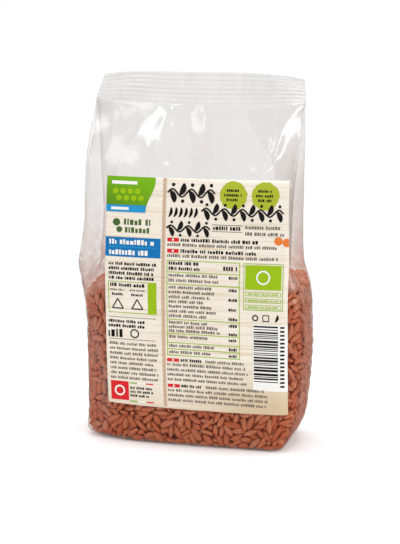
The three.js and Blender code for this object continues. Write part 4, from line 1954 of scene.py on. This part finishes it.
@dataclass
class Studio:
    """Camera, floor, surroundings and lights."""

    azimuth: float = 14.0
    elevation: float = 10.94
    distance: float = 0.7049
    aim: tuple[float, float, float] = (0.00027, 0.0, 0.0846)
    lens: float = 92.28
    sensor: float = 36.0
    floor_size: float = 6.0
    floor_tone: Colour = (0.93, 0.93, 0.93, 1.0)
    floor_glow: float = 0.1
    floor_fade: tuple[float, float] = (0.1, 0.3)
    seen: float = 1.02
    room: float = 0.46
    mirrored: float = 0.11
    film_layers: int = 24
    lights: tuple[Softbox, ...] = (
        Softbox("key_box", -74.0, 43.0, 1.1, (0.42, 0.5), 2.3),
        Softbox("soft_box", -38.0, 47.0, 1.1, (0.2, 0.28), 0.4),
        Softbox("side_box", 48.0, 40.0, 1.1, (0.24, 0.6), 2.2),
        Softbox("tail_box", 22.0, 24.0, 1.1, (0.2, 0.16), 0.4),
        Softbox("left_box", -96.0, 20.0, 1.2, (0.5, 0.9), 2.4),
        Softbox("right_box", 100.0, 20.0, 1.2, (0.5, 0.9), 3.0),
        Softbox("top_box", 180.0, 82.0, 1.1, (0.9, 0.7), 9.2),
    )

    @staticmethod
    def direction(azimuth: float, elevation: float) -> Vector:
        """Unit vector from the pack towards a view or a light."""
        a, e = math.radians(azimuth), math.radians(elevation)
        return Vector((math.sin(a) * math.cos(e), -math.cos(a) * math.cos(e), math.sin(e)))

    def put_round(
        self, name: str, data: bpy.types.ID, azimuth: float, elevation: float, distance: float
    ) -> bpy.types.Object:
        """Puts a camera or a light round the pack, turned towards it.

        Args:
            name: The object's name.
            data: The camera or light.
            azimuth: Its bearing in degrees, 0 in front.
            elevation: Its height in degrees.
            distance: How far away it stands.

        Returns:
            The new object.
        """
        placed = bpy.data.objects.new(name, data)
        towards = self.direction(azimuth, elevation)
        placed.location = Vector(self.aim) + towards * distance
        placed.rotation_euler = towards.to_track_quat("Z", "Y").to_euler()
        bpy.context.scene.collection.objects.link(placed)
        return placed

    def build_camera(self) -> None:
        """Places the camera where the picture was taken from."""
        data = bpy.data.cameras.new("camera")
        data.sensor_width, data.lens = self.sensor, self.lens
        bpy.context.scene.camera = self.put_round("camera", data, self.azimuth, self.elevation, self.distance)

    def build_lights(self) -> None:
        """Places the softboxes, each facing the pack."""
        for box in self.lights:
            data = bpy.data.lights.new(box.name, "AREA")
            data.shape = "RECTANGLE"
            data.size, data.size_y = box.size
            data.energy = box.power
            self.put_round(box.name, data, box.azimuth, box.elevation, box.distance)

    def build_floor(self, mottle: Tree) -> None:
        """Builds the plain white floor, which glows faintly and turns plain white away from the pack.

        Args:
            mottle: The shared mottle group.
        """
        half = self.floor_size / 2.0
        mesh = bpy.data.meshes.new("floor")
        corners = [(-half, -half, 0.0), (half, -half, 0.0), (half, half, 0.0), (-half, half, 0.0)]
        mesh.from_pydata(corners, [], [[0, 1, 2, 3]])
        material, graph = start_material("white_floor")
        place = graph.place()
        spots = {"Vector": place, "Color": self.floor_tone, "Scale": 3.0, "Amount": 0.01}
        tone = graph.add("Group", spots, node_tree=mottle).outputs["Color"]
        near = graph.add("AddShader")
        graph.put(graph.shader("BsdfDiffuse", Color=tone), near.inputs[0])
        graph.put(graph.shader("Emission", Strength=self.floor_glow), near.inputs[1])
        away = graph.add("VectorMath", {0: place}, operation="LENGTH").outputs["Value"]
        far = graph.shader("Emission", Strength=self.seen)
        white = graph.blend(graph.ramp(away, *self.floor_fade), near.outputs[0], far)
        dim = graph.shader("Emission", Strength=self.mirrored)
        surface = graph.blend(graph.light_path("Is Glossy Ray"), white, dim)
        graph.add("OutputMaterial", {"Surface": surface})
        mesh.materials.append(material)
        floor = bpy.data.objects.new("floor", mesh)
        bpy.context.scene.collection.objects.link(floor)

    def build_world(self) -> None:
        """White all round to the eye, and a dimmer room for what the pack mirrors and takes light from."""
        world = bpy.data.worlds.new("studio")
        world.use_nodes = True
        world.node_tree.nodes.clear()
        graph = NodeGraph(world.node_tree)
        seen, room, dim = (
            graph.shader("Background", Color=WHITE, Strength=strength)
            for strength in (self.seen, self.room, self.mirrored)
        )
        lit = graph.blend(graph.light_path("Is Glossy Ray"), room, dim)
        surface = graph.blend(graph.light_path("Is Camera Ray"), lit, seen)
        graph.add("OutputWorld", {"Surface": surface})
        bpy.context.scene.world = world

    def build(self, mottle: Tree) -> None:
        """Builds the whole studio.

        Args:
            mottle: The shared mottle group.
        """
        scene = bpy.context.scene
        scene.view_settings.view_transform = "Standard"
        scene.view_settings.look = "None"
        scene.cycles.transparent_max_bounces = self.film_layers
        self.build_camera()
        self.build_world()
        self.build_floor(mottle)
        self.build_lights()


def main() -> None:
    """Builds the studio and the pack, piece by piece."""
    logging.basicConfig(level=logging.INFO)
    mottle = mottle_group()
    Studio().build(mottle)
    form = BagForm()
    label = Label(form)
    FilmBag(form).build(FilmFinish().build(), label)
    PastaFill(form).build(PastaFinish().build(mottle))
    label.build(PaperFinish().build(mottle))
    Artwork(label).build(mottle)


if __name__ == "__main__":
    main()
